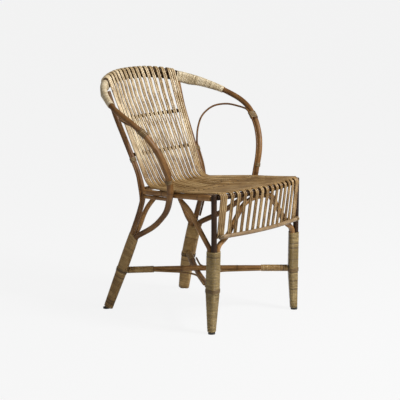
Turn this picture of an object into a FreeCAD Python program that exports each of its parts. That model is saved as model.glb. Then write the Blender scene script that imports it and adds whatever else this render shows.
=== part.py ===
"""A rattan armchair: bent poles, paired canes, peel bindings, nails and glides."""
import FreeCAD, Part
import math
import os
from FreeCAD import Vector

doc = FreeCAD.newDocument("rattan_armchair")

# Driving dimensions in millimetres. Y runs from the front of the chair to its back and is counted
# from the arms' foremost reach; Z is counted from the floor; X is counted from the middle plane.
SIZES = (
    # Thicknesses
    ("pole_dia", 18, "posts, arm hoop, front top rail, side rails, seat bearer"),
    ("brace_dia", 16, "braces"),
    ("stretcher_dia", 18, "stretchers"),
    ("inner_rail_dia", 15, "rail under the hoop and seat rear rail"),
    ("apron_rail_dia", 13, "rail across the front legs"),
    ("low_rail_dia", 12, "lower side rails"),
    ("back_rail_dia", 12, "rails behind the back slats"),
    ("cane_dia", 5.8, "slat canes"),
    ("filler_dia", 4.5, "filler canes on the seat"),
    ("loop_dia", 6.5, "thin loops under the arms and tie canes"),
    ("peel_wall", 1.5, "thickness of a peel wrap"),
    ("band_wall", 1, "thickness of a leg's band"),
    ("gap", 0.3, "clearance between pieces that lie together"),
    # Seat
    ("seat_height", 440, "top of the canes at the front edge"),
    ("seat_front", -220, "front top rail at its middle"),
    ("seat_bow", 33, "how far the front rail bows forward of its ends"),
    ("seat_rear", 150, "corner between the seat canes and the back canes"),
    ("seat_fall", 29, "how much lower the seat's rear is than its front"),
    ("seat_dish", 18, "depth of the seat's dish at the bearer"),
    ("bearer_reach", -12, "seat bearer and row of nails"),
    ("cane_bend", 45, "bend of the canes from seat to back"),
    ("front_spread", 185.5, "half width of the slats at the front edge"),
    ("bearer_spread", 184, "half width of the slats at the bearer"),
    ("rear_spread", 129, "half width of the slats at the seat's rear"),
    ("filler_start", 30, "where the filler canes begin"),
    # Front legs
    ("corner_half_width", 202.5, "front post at the seat"),
    ("corner_reach", -186.5, "front post at the seat"),
    ("front_knee_half_width", 201, "front post at its wrap's top"),
    ("front_knee_reach", -186.5, "front post at its wrap's top"),
    ("front_foot_half_width", 205, "front post at the floor"),
    ("front_foot_reach", -180, "front post at the floor"),
    # Rear legs
    ("rear_foot_half_width", 188, "rear post at the floor"),
    ("rear_foot_reach", 285, "rear post at the floor"),
    ("waist_half_width", 147, "rear post at its foremost bend"),
    ("waist_reach", 154, "rear post at its foremost bend"),
    ("waist_height", 385, "rear post at its foremost bend"),
    ("post_top_half_width", 167, "rear post under the hoop"),
    ("post_top_setback", 61, "rear post's top in front of the hoop's middle"),
    ("post_top_drop", 46, "rear post's top below the hoop's middle"),
    # Arm hoop
    ("arm_low_height", 252, "rear post where the hoop turns away from it"),
    ("arm_low_setback", 14, "hoop's bend at the rear leg"),
    ("arm_front_half_width", 212, "hoop beside the seat"),
    ("arm_front_reach", -14, "hoop's foremost point"),
    ("arm_front_height", 445, "hoop's foremost point"),
    ("arm_half_width", 283, "hoop at its widest"),
    ("arm_wide_reach", 116, "hoop at its widest"),
    ("arm_wide_drop", 98, "hoop's widest place below its middle at the back"),
    ("hoop_top_reach", 351, "hoop at the middle of the back"),
    ("hoop_top_height", 752, "hoop at the middle of the back"),
    ("hoop_spread", 158, "half width of the slats on the hoop"),
    ("back_sag", 8.5, "how far the slats sag backwards below the hoop"),
    ("hook_length", 16, "tail of a cane behind the hoop"),
    # Legs' bindings and stretchers
    ("glide_dia", 22, "glide under a leg"),
    ("glide_height", 5, "glide under a leg"),
    ("wrap_bottom", 7, "lower end of a leg wrap"),
    ("stretcher_height", 134, "stretchers at the legs"),
    ("front_wrap_drop", 47, "upper end of the front leg wraps below the apron rail"),
    ("rear_wrap_top", 252, "upper end of the rear leg wraps on the post"),
    ("rear_wrap_rise", 14, "rise of the rear leg wraps' upper end over a pole's width, outwards and backwards"),
    ("brace_setback", 16, "bend of a front brace above a leg wrap"),
    ("short_setback", 8, "bend of a side or rear brace above a leg wrap"),
    ("band_height", 12, "raised binding at the stretchers"),
    ("stretcher_wrap_length", 82, "peel wrap on a stretcher's end"),
    ("crossing_lift", 3, "upper stretcher's rise at the crossing"),
    ("stretcher_slope", 4, "upper stretcher's front end above its middle, and its rear end below"),
    ("tie_bend", 70, "bend of a tie cane at the crossing"),
    # Rails
    ("apron_rail_height", 304, "apron rail at the middle of its section"),
    ("apron_rail_reach", -224, "apron rail at its middle"),
    ("apron_rail_bow", 27, "how far the apron rail bows forward of its ends"),
    ("upper_rail_drop", 130, "upper rail behind the slats, below the hoop's middle"),
    ("back_rail_spacing", 110, "between the two rails behind the slats"),
    # Thin loops
    ("loop_inset", 8, "thin loop's widest point, inside the arm's"),
    ("loop_lead", 16, "thin loop's widest point, in front of the arm's"),
    ("loop_drop", 26, "thin loop's widest point, below the arm's"),
    # Nails
    ("nail_head_dia", 4.4, "nail head on the seat"),
    ("nail_head_height", 0.8, "nail head on the seat"),
    ("nail_shank_dia", 1.2, "nail shank between two canes"),
    ("nail_shank_length", 0.9, "nail shank between two canes"),
)

sheet = doc.addObject("Spreadsheet::Sheet", "dimensions")
for row, (alias, value, meaning) in enumerate(SIZES, start=1):
    sheet.set(f"A{row}", alias)
    sheet.set(f"B{row}", str(value))
    sheet.set(f"C{row}", meaning)
    sheet.setAlias(f"B{row}", alias)
doc.recompute()


def size(alias):
    """One driving dimension from the sheet."""
    return float(sheet.get(alias))


SLATS = 17
NEARLY_STRAIGHT = math.radians(0.3)
TINY_SHARE = 1e-4

pole = size("pole_dia") / 2
brace = size("brace_dia") / 2
stretcher = size("stretcher_dia") / 2
inner_rail = size("inner_rail_dia") / 2
apron_rail = size("apron_rail_dia") / 2
low_rail = size("low_rail_dia") / 2
back_rail = size("back_rail_dia") / 2
cane = size("cane_dia") / 2
filler = size("filler_dia") / 2
loop = size("loop_dia") / 2
gap = size("gap")
pair_half = cane + gap
edge_step = 4 * pair_half
arm_wide_height = size("hoop_top_height") - size("arm_wide_drop")
front_wrap_top = size("apron_rail_height") - size("front_wrap_drop")


def mix(low, high, share):
    """Value that lies the given share of the way from low to high."""
    return low + (high - low) * share


def mix_points(low, high, share):
    return low + (high - low) * share


def interpolate(table, x):
    """Straight-line reading of a table of (x, value) pairs, flat past its ends."""
    if x <= table[0][0]:
        return table[0][1]
    for (x0, v0), (x1, v1) in zip(table, table[1:]):
        if x <= x1:
            return mix(v0, v1, (x - x0) / (x1 - x0))
    return table[-1][1]


UP = Vector(0, 0, 1)
DOWN = Vector(0, 0, -1)
FORWARD = Vector(0, -1, 0)
INWARD = Vector(-1, 0, 0)


def mirror(points):
    return [Vector(-p.x, p.y, p.z) for p in points]


def unit(vector):
    result = Vector(vector)
    result.normalize()
    return result


# Paths: straight runs joined by tangent arcs

ARC_SHARE = 0.45


def rounded_path(points, radii=None, setbacks=None):
    """Wire along a polygon's runs. A corner's arc has a given radius or setback, or is as large as its runs allow."""
    radii = radii or {}
    setbacks = setbacks or {}
    points = [Vector(p) for p in points]
    edges = []
    start = points[0]
    for i in range(1, len(points) - 1):
        corner = points[i]
        before = unit(points[i - 1] - corner)
        after = unit(points[i + 1] - corner)
        turn = math.pi - before.getAngle(after)
        if turn < NEARLY_STRAIGHT:
            continue
        runs = ((points[i - 1] - corner).Length, (points[i + 1] - corner).Length)
        setback = ARC_SHARE * min(runs)
        if i in radii:
            setback = radii[i] * math.tan(turn / 2)
        if i in setbacks:
            setback = setbacks[i]
        radius = setback / math.tan(turn / 2)
        first = corner + before * setback
        last = corner + after * setback
        inward = unit(before + after)
        middle = corner + inward * (radius / math.cos(turn / 2) - radius)
        if (first - start).Length > cane * TINY_SHARE:
            edges.append(Part.LineSegment(start, first).toShape())
        else:
            first = start
        edges.append(Part.Arc(first, middle, last).toShape())
        start = last
    if (points[-1] - start).Length > cane * TINY_SHARE:
        edges.append(Part.LineSegment(start, points[-1]).toShape())
    return Part.Wire(edges)


def tube(path, radius):
    """Round pole or cane along a path."""
    first = path.OrderedEdges[0]
    start = first.valueAt(first.FirstParameter)
    direction = first.tangentAt(first.FirstParameter)
    if (start - path.OrderedVertexes[0].Point).Length > cane * TINY_SHARE:
        start = first.valueAt(first.LastParameter)
        direction = first.tangentAt(first.LastParameter) * -1
    ring = Part.Wire(Part.makeCircle(radius, start, direction))
    return path.makePipeShell([ring], True, False)


def sleeve(path, inner, outer):
    """Closed peel wrap round a pole."""
    return tube(path, outer).cut(tube(path, inner))


def both_sides(path, radius):
    """A pole of the right side with its clearance, and its mirror image."""
    right = tube(path, radius + gap)
    return [right, right.mirror(Vector(0, 0, 0), Vector(1, 0, 0))]


def notched(shape, cores):
    """A pole with the room for its neighbours cut out of its ends."""
    for core in cores:
        shape = shape.cut(core)
    return max(shape.Solids, key=lambda solid: solid.Volume)


# The document's pieces

pieces = []


def add_piece(name, shape):
    piece = doc.addObject("Part::Feature", name)
    piece.Label = name
    piece.Shape = shape
    pieces.append(piece)
    return piece


def add_pair(name, build):
    """Right piece and its mirror image."""
    right = build()
    add_piece("right_" + name, right)
    add_piece("left_" + name, right.mirror(Vector(0, 0, 0), Vector(1, 0, 0)))


def with_mirror(shapes):
    """The right-hand shapes and their mirror images as one compound."""
    left = [shape.mirror(Vector(0, 0, 0), Vector(1, 0, 0)) for shape in shapes]
    return Part.makeCompound(shapes + left)


# Surface of the seat

def seat_top(y):
    """Height of the canes' top at the seat's sides."""
    front, rear = size("seat_front"), size("seat_rear")
    return size("seat_height") - size("seat_fall") * (y - front) / (rear - front)


DISH_SHARES = ((0.0, 0.0), (0.3, 0.62), (0.56, 1.0), (0.8, 0.72), (1.0, 0.0))


SPREAD_TABLE = ((size("seat_front"), size("front_spread")), (size("bearer_reach"), size("bearer_spread")),
                (size("seat_rear"), size("rear_spread")))


def seat_spread(y):
    return interpolate(SPREAD_TABLE, y)


def seat_axis_height(x, y):
    """Height of a cane's axis on the dished seat."""
    front, rear = size("seat_front"), size("seat_rear")
    depth = size("seat_dish") * interpolate(DISH_SHARES, (y - front) / (rear - front))
    across = 1 - (x / seat_spread(y)) ** 2
    return seat_top(y) - cane - depth * max(across, 0)


def bowed(x, middle, bow, half_width):
    """Reach of a rail that bows forward at its middle."""
    return middle + bow * (x / half_width) ** 2


def front_rail_reach(x):
    return bowed(x, size("seat_front"), size("seat_bow"), size("corner_half_width"))


def apron_rail_reach(x):
    return bowed(x, size("apron_rail_reach"), size("apron_rail_bow"), size("corner_half_width"))


front_rail_height = size("seat_height") - 2 * cane - gap - pole
cane_round_pole = pole + gap + cane
upper_rail_height = size("hoop_top_height") - size("upper_rail_drop")
lower_rail_height = upper_rail_height - size("back_rail_spacing")

SAMPLES = 240


def at_height(path, height):
    """Point of a rising path at a height, with its direction."""
    points = path.discretize(Number=SAMPLES)
    if points[0].z > points[-1].z:
        points.reverse()
    for low, high in zip(points, points[1:]):
        if low.z <= height <= high.z:
            return mix_points(low, high, (height - low.z) / (high.z - low.z)), unit(high - low)
    return points[-1], unit(points[-1] - points[-2])


# Posts

front_foot = Vector(size("front_foot_half_width"), size("front_foot_reach"), 0)
front_corner = Vector(size("corner_half_width"), size("corner_reach"), size("seat_height") - 2 * cane - 3 * gap)


front_knee = Vector(size("front_knee_half_width"), size("front_knee_reach"), front_wrap_top)
front_post_path = rounded_path([front_foot, front_knee, front_corner])


def front_post_at(height):
    return at_height(front_post_path, height)[0]


def half_space(point, normal):
    """Large block on the normal's side of a plane."""
    side = 2 * size("hoop_top_height")
    block = Part.makeBox(side, side, side, Vector(-side / 2, -side / 2, 0))
    block.Placement = FreeCAD.Placement(point, FreeCAD.Rotation(UP, normal))
    return block


def above_height(shape, height):
    return shape.cut(half_space(Vector(0, 0, height), DOWN))


add_pair("front_post", lambda: above_height(
    tube(front_post_path, pole), size("glide_height")))

# Shares of height, of half width and of reach, from the foot to the waist and from there to the top
LEG_SHARES = ((0.0, 0.0, 0.0), (0.34, 0.54, 0.3), (0.64, 0.85, 0.62), (0.84, 0.98, 0.85), (1.0, 1.0, 1.0))
BACK_SHARES = ((0.19, 0.04, 0.14), (0.41, 0.22, 0.4), (0.57, 0.42, 0.58), (0.75, 0.62, 0.79), (1.0, 1.0, 1.0))


def rear_post_points():
    foot = Vector(size("rear_foot_half_width"), size("rear_foot_reach"), 0)
    waist = Vector(size("waist_half_width"), size("waist_reach"), size("waist_height"))
    top_y = size("hoop_top_reach") - size("post_top_setback")
    top = Vector(size("post_top_half_width"), top_y, size("hoop_top_height") - size("post_top_drop"))
    points = []
    for low, high, shares in ((foot, waist, LEG_SHARES), (waist, top, BACK_SHARES)):
        for up, out, back in shares:
            points.append(Vector(mix(low.x, high.x, out), mix(low.y, high.y, back), mix(low.z, high.z, up)))
    return points


rear_post_path = rounded_path(rear_post_points())
add_pair("rear_post", lambda: above_height(tube(rear_post_path, pole), size("glide_height")))

# Arm hoop, from the right rear leg's binding to the middle of the back

side_by_side = pole + pole + gap
brace_beside = pole + brace + gap


def beside_rear_leg(height, outward, distance):
    """Point beside the rear post, square to it, on its front side or its inner side."""
    centre, along = at_height(rear_post_path, height)
    away = unit(outward - along * outward.dot(along))
    return centre + away * distance


LEG_TAIL_SHARES = (0.0, 0.2, 0.4, 0.6, 0.8)

# Shares of half width, reach and height between the named places of the hoop
ARM_RISE_SHARES = ((0.27, 0.5, 0.25), (0.72, 0.87, 0.55), (0.93, 0.99, 0.85), (1.0, 1.0, 1.0))
ARM_SWEEP_SHARES = ((0.2, 0.0, 0.22), (0.45, 0.1, 0.46), (0.72, 0.34, 0.71), (0.94, 0.7, 0.9), (1.0, 1.0, 1.0))
SHOULDER_SHARES = ((0.98, 0.17, 0.17), (0.925, 0.335, 0.35), (0.815, 0.555, 0.585), (0.65, 0.75, 0.78),
                   (0.45, 0.885, 0.92), (0.225, 0.975, 0.99), (0.0, 1.0, 1.0))


def hoop_half_points():
    low = beside_rear_leg(size("arm_low_height"), FORWARD, side_by_side)
    front = Vector(size("arm_front_half_width"), size("arm_front_reach"), size("arm_front_height"))
    wide = Vector(size("arm_half_width"), size("arm_wide_reach"), arm_wide_height)
    top = Vector(0, size("hoop_top_reach"), size("hoop_top_height"))
    tail_height = size("stretcher_height") + size("band_height")
    points = []
    for share in LEG_TAIL_SHARES:
        points.append(beside_rear_leg(mix(tail_height, size("arm_low_height"), share), FORWARD, side_by_side))
    points.append(low)
    for start, end, shares in ((low, front, ARM_RISE_SHARES), (front, wide, ARM_SWEEP_SHARES)):
        for out, back, up in shares:
            points.append(Vector(mix(start.x, end.x, out), mix(start.y, end.y, back), mix(start.z, end.z, up)))
    for out, back, up in SHOULDER_SHARES:
        points.append(Vector(wide.x * out, mix(wide.y, top.y, back), mix(wide.z, top.z, up)))
    return points


ARM_LOW_CORNER = len(LEG_TAIL_SHARES)
hoop_half = hoop_half_points()
hoop_points = hoop_half + mirror(hoop_half[:-1])[::-1]
hoop_bends = {i: size("arm_low_setback") for i in (ARM_LOW_CORNER, len(hoop_points) - 1 - ARM_LOW_CORNER)}
hoop_path = rounded_path(hoop_points, None, hoop_bends)
hoop_samples = hoop_path.discretize(Number=4 * SAMPLES)


# The hoop is an arm pole on each side and a bow round the back. Their joints lie in the arm wraps.
JOINT_RISE_SHARE = 0.6


def joint_edge():
    """Number of the hoop path's edges up to the right-hand joint, above the arm's widest place."""
    height = mix(arm_wide_height, size("hoop_top_height"), JOINT_RISE_SHARE)
    number = 0
    top = 0
    while top < height:
        top = max(vertex.Point.z for vertex in hoop_path.OrderedEdges[number].Vertexes)
        number += 1
    return number


arm_edges = joint_edge()
arm_pole_path = Part.Wire(hoop_path.OrderedEdges[:arm_edges])
joint_place = 2 * arm_pole_path.Length / hoop_path.Length
add_pair("arm_pole", lambda: tube(arm_pole_path, pole))
add_piece("back_bow", tube(Part.Wire(hoop_path.OrderedEdges[arm_edges:-arm_edges]), pole))


def hoop_arm_at(share):
    """Point of the right half of the hoop, from its low end at 0 to the middle of the back at 1."""
    place = share * (len(hoop_samples) - 1) / 2
    index = min(int(place), len(hoop_samples) - 2)
    point = mix_points(hoop_samples[index], hoop_samples[index + 1], place - index)
    return point, unit(hoop_samples[index + 1] - hoop_samples[index])


def widest_sample(sign):
    return max(range(len(hoop_samples)), key=lambda i: sign * hoop_samples[i].x)


back_samples = hoop_samples[widest_sample(1):widest_sample(-1) + 1]


def hoop_top_at(x):
    """Point of the hoop's back above a half width, and its direction towards +X."""
    for before, after in zip(back_samples, back_samples[1:]):
        if before.x >= x >= after.x:
            share = (before.x - x) / (before.x - after.x)
            return mix_points(before, after, share), unit(before - after)
    return None


# Slats: each a pair of canes from behind the hoop to the apron rail

PITCH_SHARE = 2 / (SLATS - 1)


def slat_x(u, spread):
    """Place of the slat at spread share u. The outermost slats lie close beside their neighbours."""
    within = min(abs(u) / (1 - PITCH_SHARE), 1)
    beyond = max(abs(u) - 1 + PITCH_SHARE, 0) / PITCH_SHARE
    return math.copysign((spread - edge_step) * within + edge_step * beyond, u)


def rear_corner(u):
    """Corner between seat and back on the slat at spread share u."""
    x = slat_x(u, size("rear_spread"))
    return Vector(x, size("seat_rear"), seat_axis_height(x, size("seat_rear")))


def back_frame(u):
    """Hoop point of a slat, its downward direction along the back, and the direction to its front."""
    centre, along = hoop_top_at(slat_x(u, size("hoop_spread")))
    down = unit(rear_corner(u) - centre)
    front = unit(along.cross(down))
    if front.y > 0:
        front = front * -1
    down = unit(rear_corner(u) - centre - front * cane_round_pole)
    front = unit(front - down * front.dot(down))
    return centre, down, front


# Share of the way down the back, and share of the sag
SAG_SHARES = ((0.1, 0.0), (0.2, 0.8), (0.4, 1.0), (0.66, 0.75), (1.0, 0.0))


def back_share(u, height):
    """Share of the way down a slat's back at a height."""
    centre, down, front = back_frame(u)
    top = centre + front * cane_round_pole
    return (top.z - height) / (top.z - rear_corner(u).z)


def back_place(u, share):
    """Point of a slat's middle line at a share of the way down the back."""
    centre, down, front = back_frame(u)
    sag = size("back_sag") * interpolate(SAG_SHARES, share) * (1 - u ** 4)
    return mix_points(centre + front * cane_round_pole, rear_corner(u), share) - front * sag


def back_point(u, height):
    """Point of a slat's middle line on the back at a height."""
    return back_place(u, back_share(u, height))


def back_along(u, height):
    """Level direction along the back's surface at a slat, towards +X."""
    return unit(back_point(min(u + PITCH_SHARE, 1), height) - back_point(max(u - PITCH_SHARE, -1), height))


# Share of the way down from the upper to the lower rail, and how far the two canes of a slat have parted
PARTING_SHARES = ((0.1, 0.12), (0.34, 1.0), (0.62, 0.9), (0.88, 0.1))
# Shares of the way down the back where a slat bends to its sag
SAG_BENDS_SHARES = (0.1, 0.2)
# Shares of the seat's depth where a cane's line is bent to the dish
SEAT_SHARES = (0.76, 0.56, 0.3)


def front_bend(x, inner_point, outer_point):
    """Corner of a cane that bends over the front top rail, on tangents from the seat and from the apron."""
    centre_y = front_rail_reach(x)
    centre_z = front_rail_height

    def tangent(point, sign):
        dy = point.y - centre_y
        dz = point.z - centre_z
        distance = math.hypot(dy, dz)
        angle = math.atan2(dz, dy) + sign * math.acos(cane_round_pole / distance)
        return math.cos(angle), math.sin(angle)

    a1, b1 = tangent(inner_point, 1)
    a2, b2 = tangent(outer_point, -1)
    determinant = a1 * b2 - a2 * b1
    y = (b2 - b1) * cane_round_pole / determinant
    z = (a1 - a2) * cane_round_pole / determinant
    return Vector(x, centre_y + y, centre_z + z)


def cane_foot(x):
    """Lower end of an apron cane, behind the apron rail."""
    reach = apron_rail_reach(x) + apron_rail + 2 * gap + cane
    lean = (reach - front_rail_reach(x) + cane_round_pole) / (front_rail_height - size("apron_rail_height"))
    return Vector(x, reach + 2 * lean * apron_rail, size("apron_rail_height") - apron_rail)


cane_seats = {}


def seat_crossing(path, y):
    """Point where a cane's path crosses a reach on the seat."""
    points = path.discretize(Number=SAMPLES)
    for before, after in zip(points, points[1:]):
        low = max(before.z, after.z) < size("seat_height")
        if low and before.y >= y >= after.y:
            return mix_points(before, after, (before.y - y) / (before.y - after.y))
    return None


def slat_cane(u, side):
    """One cane of the slat at spread share u, on the given side of the slat's middle line."""
    offset = side * pair_half
    centre, down, front = back_frame(u)
    along = unit(front.cross(down))
    if along.x < 0:
        along = along * -1
    across = Vector(1, 0, 0)
    reach = cane_round_pole
    hoop_along = hoop_top_at(slat_x(u, size("hoop_spread")))[1]
    over = reach / math.sqrt(1 - down.dot(hoop_along) ** 2)
    hook = [
        centre - front * reach + down * size("hook_length"),
        centre - front * reach - down * over,
        centre + front * reach - down * over,
    ]
    slope = down.dot(hoop_along) / along.dot(hoop_along)
    hook += [back_place(u, share) for share in SAG_BENDS_SHARES]
    points = [p + (along + down * slope) * offset for p in hook]
    closed = abs(u + side * PITCH_SHARE) > 1 - PITCH_SHARE / 2
    for share, part in PARTING_SHARES:
        middle = back_point(u, mix(upper_rail_height, lower_rail_height, share))
        shift = pair_half
        if not closed:
            neighbour = back_point(u + side * PITCH_SHARE, middle.z)
            shift = mix(pair_half, (neighbour - middle).Length / 2 - pair_half, part)
        points.append(middle + back_along(u, middle.z) * side * shift)
    points.append(rear_corner(u) + across * offset)
    radii = {1: reach, 2: reach, len(points) - 1: size("cane_bend")}
    front_y, rear_y = size("seat_front"), size("seat_rear")
    for share in SEAT_SHARES:
        y = mix(front_y, rear_y, share)
        x = slat_x(u, seat_spread(y))
        points.append(Vector(x + offset, y, seat_axis_height(x, y)))
    x = slat_x(u, size("front_spread")) + offset
    foot = cane_foot(x)
    points.append(front_bend(x, points[-1], foot))
    radii[len(points) - 1] = reach
    points.append(foot)
    path = rounded_path(points, radii)
    cane_seats[(u, side)] = seat_crossing(path, size("bearer_reach"))
    return tube(path, cane)


for number in range(SLATS):
    place = mix(-1, 1, number / (SLATS - 1))
    canes = Part.makeCompound([slat_cane(place, -1), slat_cane(place, 1)])
    add_piece(f"slat_{number + 1:02d}", canes)


# Filler canes on the seat, two in each wide space between slats, and a cane along each side

FILLER_SEAT_SHARES = (0.76, 0.56, 0.3)


def filler_cane(x_at, start_y):
    """Cane whose top is level with the slats' tops, from a reach on the seat to the front top rail."""
    front_y, rear_y = size("seat_front"), size("seat_rear")
    reaches = [start_y]
    for share in FILLER_SEAT_SHARES:
        y = mix(front_y, rear_y, share)
        if y < start_y - size("pole_dia"):
            reaches.append(y)
    points = [Vector(x_at(y), y, seat_axis_height(x_at(y), y) + cane - filler) for y in reaches]
    x = x_at(front_y)
    points.append(Vector(x, front_rail_reach(x), size("seat_height") - filler))
    return tube(rounded_path(points), filler)


def fillers():
    canes = []
    for space in range(1, SLATS - 2):
        for third in (-1, 1):
            def x_at(y, space=space, third=third):
                low = slat_x(space * PITCH_SHARE - 1, seat_spread(y))
                high = slat_x((space + 1) * PITCH_SHARE - 1, seat_spread(y))
                return (low + high) / 2 + third * ((high - low) / 2 - pair_half - cane + filler) / 3
            canes.append(filler_cane(x_at, size("filler_start")))
    return Part.makeCompound(canes)


add_piece("seat_filler_canes", fillers())


def edge_cane_x(y):
    return seat_spread(y) + pair_half + cane + 2 * gap + filler


edge_cane = filler_cane(edge_cane_x, size("seat_rear") - size("pole_dia"))
add_piece("seat_edge_canes", with_mirror([edge_cane]))

# Rails

RAIL_SHARES = (1.0, 0.8, 0.55, 0.28, 0.0, -0.28, -0.55, -0.8, -1.0)


def front_top_rail():
    half_width = size("corner_half_width") - pole - gap
    points = [Vector(half_width * s, front_rail_reach(half_width * s), front_rail_height) for s in RAIL_SHARES]
    return tube(rounded_path(points), pole)


add_piece("front_top_rail", front_top_rail())


def apron_rail_shape():
    height = size("apron_rail_height")
    half_width = front_post_at(height).x - pole - gap
    points = [Vector(half_width * s, apron_rail_reach(half_width * s), height) for s in RAIL_SHARES]
    return tube(rounded_path(points), apron_rail)


add_piece("apron_rail", apron_rail_shape())


SIDE_RAIL_BULGE_SHARE = 0.05


def side_rail_points():
    """Side rail from the front post, inside the arm, to the rear post."""
    front_y = size("corner_reach")
    front_x = size("corner_half_width")
    arm_x = size("arm_front_half_width") - 2 * (pole + 2 * loop)
    rear_point, _ = at_height(rear_post_path, size("waist_height"))
    table = (
        (front_y, front_x),
        (mix(front_y, size("bearer_reach"), 0.5), mix(front_x, arm_x, 0.5)),
        (size("bearer_reach"), arm_x),
        (mix(size("bearer_reach"), rear_point.y, 0.5),
         mix(arm_x, rear_point.x, 0.5) + SIDE_RAIL_BULGE_SHARE * (arm_x - rear_point.x)),
        (rear_point.y, rear_point.x),
    )
    return [Vector(x, y, seat_top(y) - 2 * cane - 2 * gap - pole) for y, x in table]


side_rail_path = rounded_path(side_rail_points())
add_pair("side_rail", lambda: notched(tube(side_rail_path, pole), [
    tube(front_post_path, pole + gap), tube(rear_post_path, pole + gap), tube(hoop_path, pole + gap)]))


def side_rail_at(y):
    points = side_rail_path.discretize(Number=SAMPLES)
    for before, after in zip(points, points[1:]):
        if min(before.y, after.y) <= y <= max(before.y, after.y):
            return mix_points(before, after, (y - before.y) / (after.y - before.y))
    return points[-1]


# Canes under which the bearer bends, counted from one side to the middle
BEARER_CANES = (2, 4, 8, 12, 16)


def seat_bearer():
    seats = sorted(cane_seats.values(), key=lambda point: point.x)
    points = [seats[number] - UP * (cane_round_pole + 3 * gap) for number in BEARER_CANES]
    points.insert(0, Vector(-side_rail_at(size("bearer_reach")).x, points[0].y, points[0].z))
    points[-1].x = 0
    points = points + mirror(points[:-1])[::-1]
    return notched(tube(rounded_path(points), pole), both_sides(side_rail_path, pole))


add_piece("seat_bearer", seat_bearer())


def rear_rail():
    """Rail behind the canes' bend from seat to back."""
    corner = rear_corner(0)
    up = unit(back_point(0, lower_rail_height) - corner)
    ahead_y = mix(size("seat_front"), size("seat_rear"), SEAT_SHARES[0])
    ahead = unit(Vector(0, ahead_y, seat_axis_height(0, ahead_y)) - corner)
    half_turn = (math.pi - up.getAngle(ahead)) / 2
    inward = unit(up + ahead)
    bend_centre = corner + inward * (size("cane_bend") / math.cos(half_turn))
    rail_centre = bend_centre - inward * (size("cane_bend") + cane + gap + inner_rail)
    end = side_rail_at(rail_centre.y).x
    ends = [Vector(-end, rail_centre.y, rail_centre.z), Vector(end, rail_centre.y, rail_centre.z)]
    return notched(tube(rounded_path(ends), inner_rail), both_sides(side_rail_path, pole)
                   + both_sides(rear_post_path, pole))


add_piece("rear_rail", rear_rail())


LOW_RAIL_SHARES = (0.04, 0.5, 0.98)


def lower_side_rail():
    """Thin rail close under the side rail, between the arm and the rear post."""
    front_y, rear_y = size("bearer_reach") + size("pole_dia"), size("seat_rear")
    points = []
    for share in LOW_RAIL_SHARES:
        above = side_rail_at(mix(front_y, rear_y, share))
        points.append(above - UP * (pole + gap + low_rail))
    return tube(rounded_path(points), low_rail)


add_pair("lower_side_rail", lower_side_rail)

# Rail under the hoop, behind the slats' tops

INNER_RAIL_SHARES = (0.97, 0.83, 0.66, 0.49, 0.32, 0.16, 0.0)
# Shares of the hoop's half length from the joint
INNER_RAIL_END_SHARES = (-0.0066, 0.0114, 0.0314)


def inner_rail_points():
    points = []
    for share in INNER_RAIL_SHARES:
        centre, down, front = back_frame(share)
        along = hoop_top_at(slat_x(share, size("hoop_spread")))[1]
        down = unit(down - along * down.dot(along))
        points.append(centre + down * (pole + 2 * gap + inner_rail))
    ends = []
    for share in INNER_RAIL_END_SHARES:
        centre, along = hoop_arm_at(joint_place + share)
        down = unit(DOWN - along * DOWN.dot(along))
        ends.append(centre + down * (pole + 2 * gap + inner_rail))
    return ends + points


inner_rail_half = inner_rail_points()
inner_rail_path = rounded_path(inner_rail_half + mirror(inner_rail_half[:-1])[::-1])
add_piece("hoop_inner_rail", tube(inner_rail_path, inner_rail))


# Rails behind the back slats

BACK_RAIL_SHARES = (1.0, 0.82, 0.62, 0.42, 0.2, 0.0)


def back_rail_shape(height):
    points = []
    for share in BACK_RAIL_SHARES:
        front = back_frame(share)[2]
        points.append(back_point(share, height) - front * (cane + 3 * gap + back_rail))
    points.insert(0, at_height(rear_post_path, height)[0])
    rail = tube(rounded_path(points + mirror(points[:-1])[::-1]), back_rail)
    return notched(rail, both_sides(rear_post_path, pole))


add_piece("upper_back_rail", back_rail_shape(upper_rail_height))
add_piece("lower_back_rail", back_rail_shape(lower_rail_height))

# Braces

band_low = size("stretcher_height") - size("band_height") / 2
band_high = size("stretcher_height") + size("band_height") / 2

FRONT_BRACE_SHARES = ((0.76, 0.06, 0.18), (0.58, 0.1, 0.52), (0.4, 0.33, 0.86), (0.22, 0.62, 0.98))


def front_brace():
    """Brace from the front leg's inner side to the middle of the front top rail's underside."""
    shift = Vector(-brace_beside, 0, 0)
    low = front_post_at(band_low) + shift
    leave = front_post_at(front_wrap_top + size("brace_setback")) + shift
    top = Vector(gap + brace / 2, size("seat_front") + pole / 2, front_rail_height - pole - gap - brace)
    points = [low, leave]
    for out, ahead, up in FRONT_BRACE_SHARES:
        points.append(Vector(leave.x * out, mix(leave.y, top.y, ahead), mix(leave.z, top.z, up)))
    points.append(top)
    return tube(rounded_path(points, None, {1: size("brace_setback")}), brace)


add_pair("front_brace", front_brace)

SIDE_BRACE_SHARES = ((0.18, 0.3, 0.36), (0.55, 0.7, 0.84), (1.0, 1.0, 1.0))


def side_brace():
    """Brace from the front leg's rear side to the side rail's underside."""
    shift = Vector(0, brace_beside, 0)
    low = front_post_at(band_low) + shift
    leave = front_post_at(front_wrap_top + size("short_setback")) + shift
    top_y = size("bearer_reach") - size("pole_dia") - brace
    rail = side_rail_at(top_y)
    top = Vector(rail.x, top_y, rail.z - pole - gap - brace)
    points = [low, leave]
    for out, back, up in SIDE_BRACE_SHARES:
        points.append(Vector(mix(leave.x, top.x, out), mix(leave.y, top.y, back), mix(leave.z, top.z, up)))
    return tube(rounded_path(points, None, {1: size("short_setback")}), brace)


add_pair("side_brace", side_brace)

REAR_BRACE_SHARES = ((0.84, 0.02, 0.2), (0.69, 0.05, 0.48), (0.58, 0.12, 0.63), (0.36, 0.6, 0.9), (0.06, 1.0, 1.0))


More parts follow.
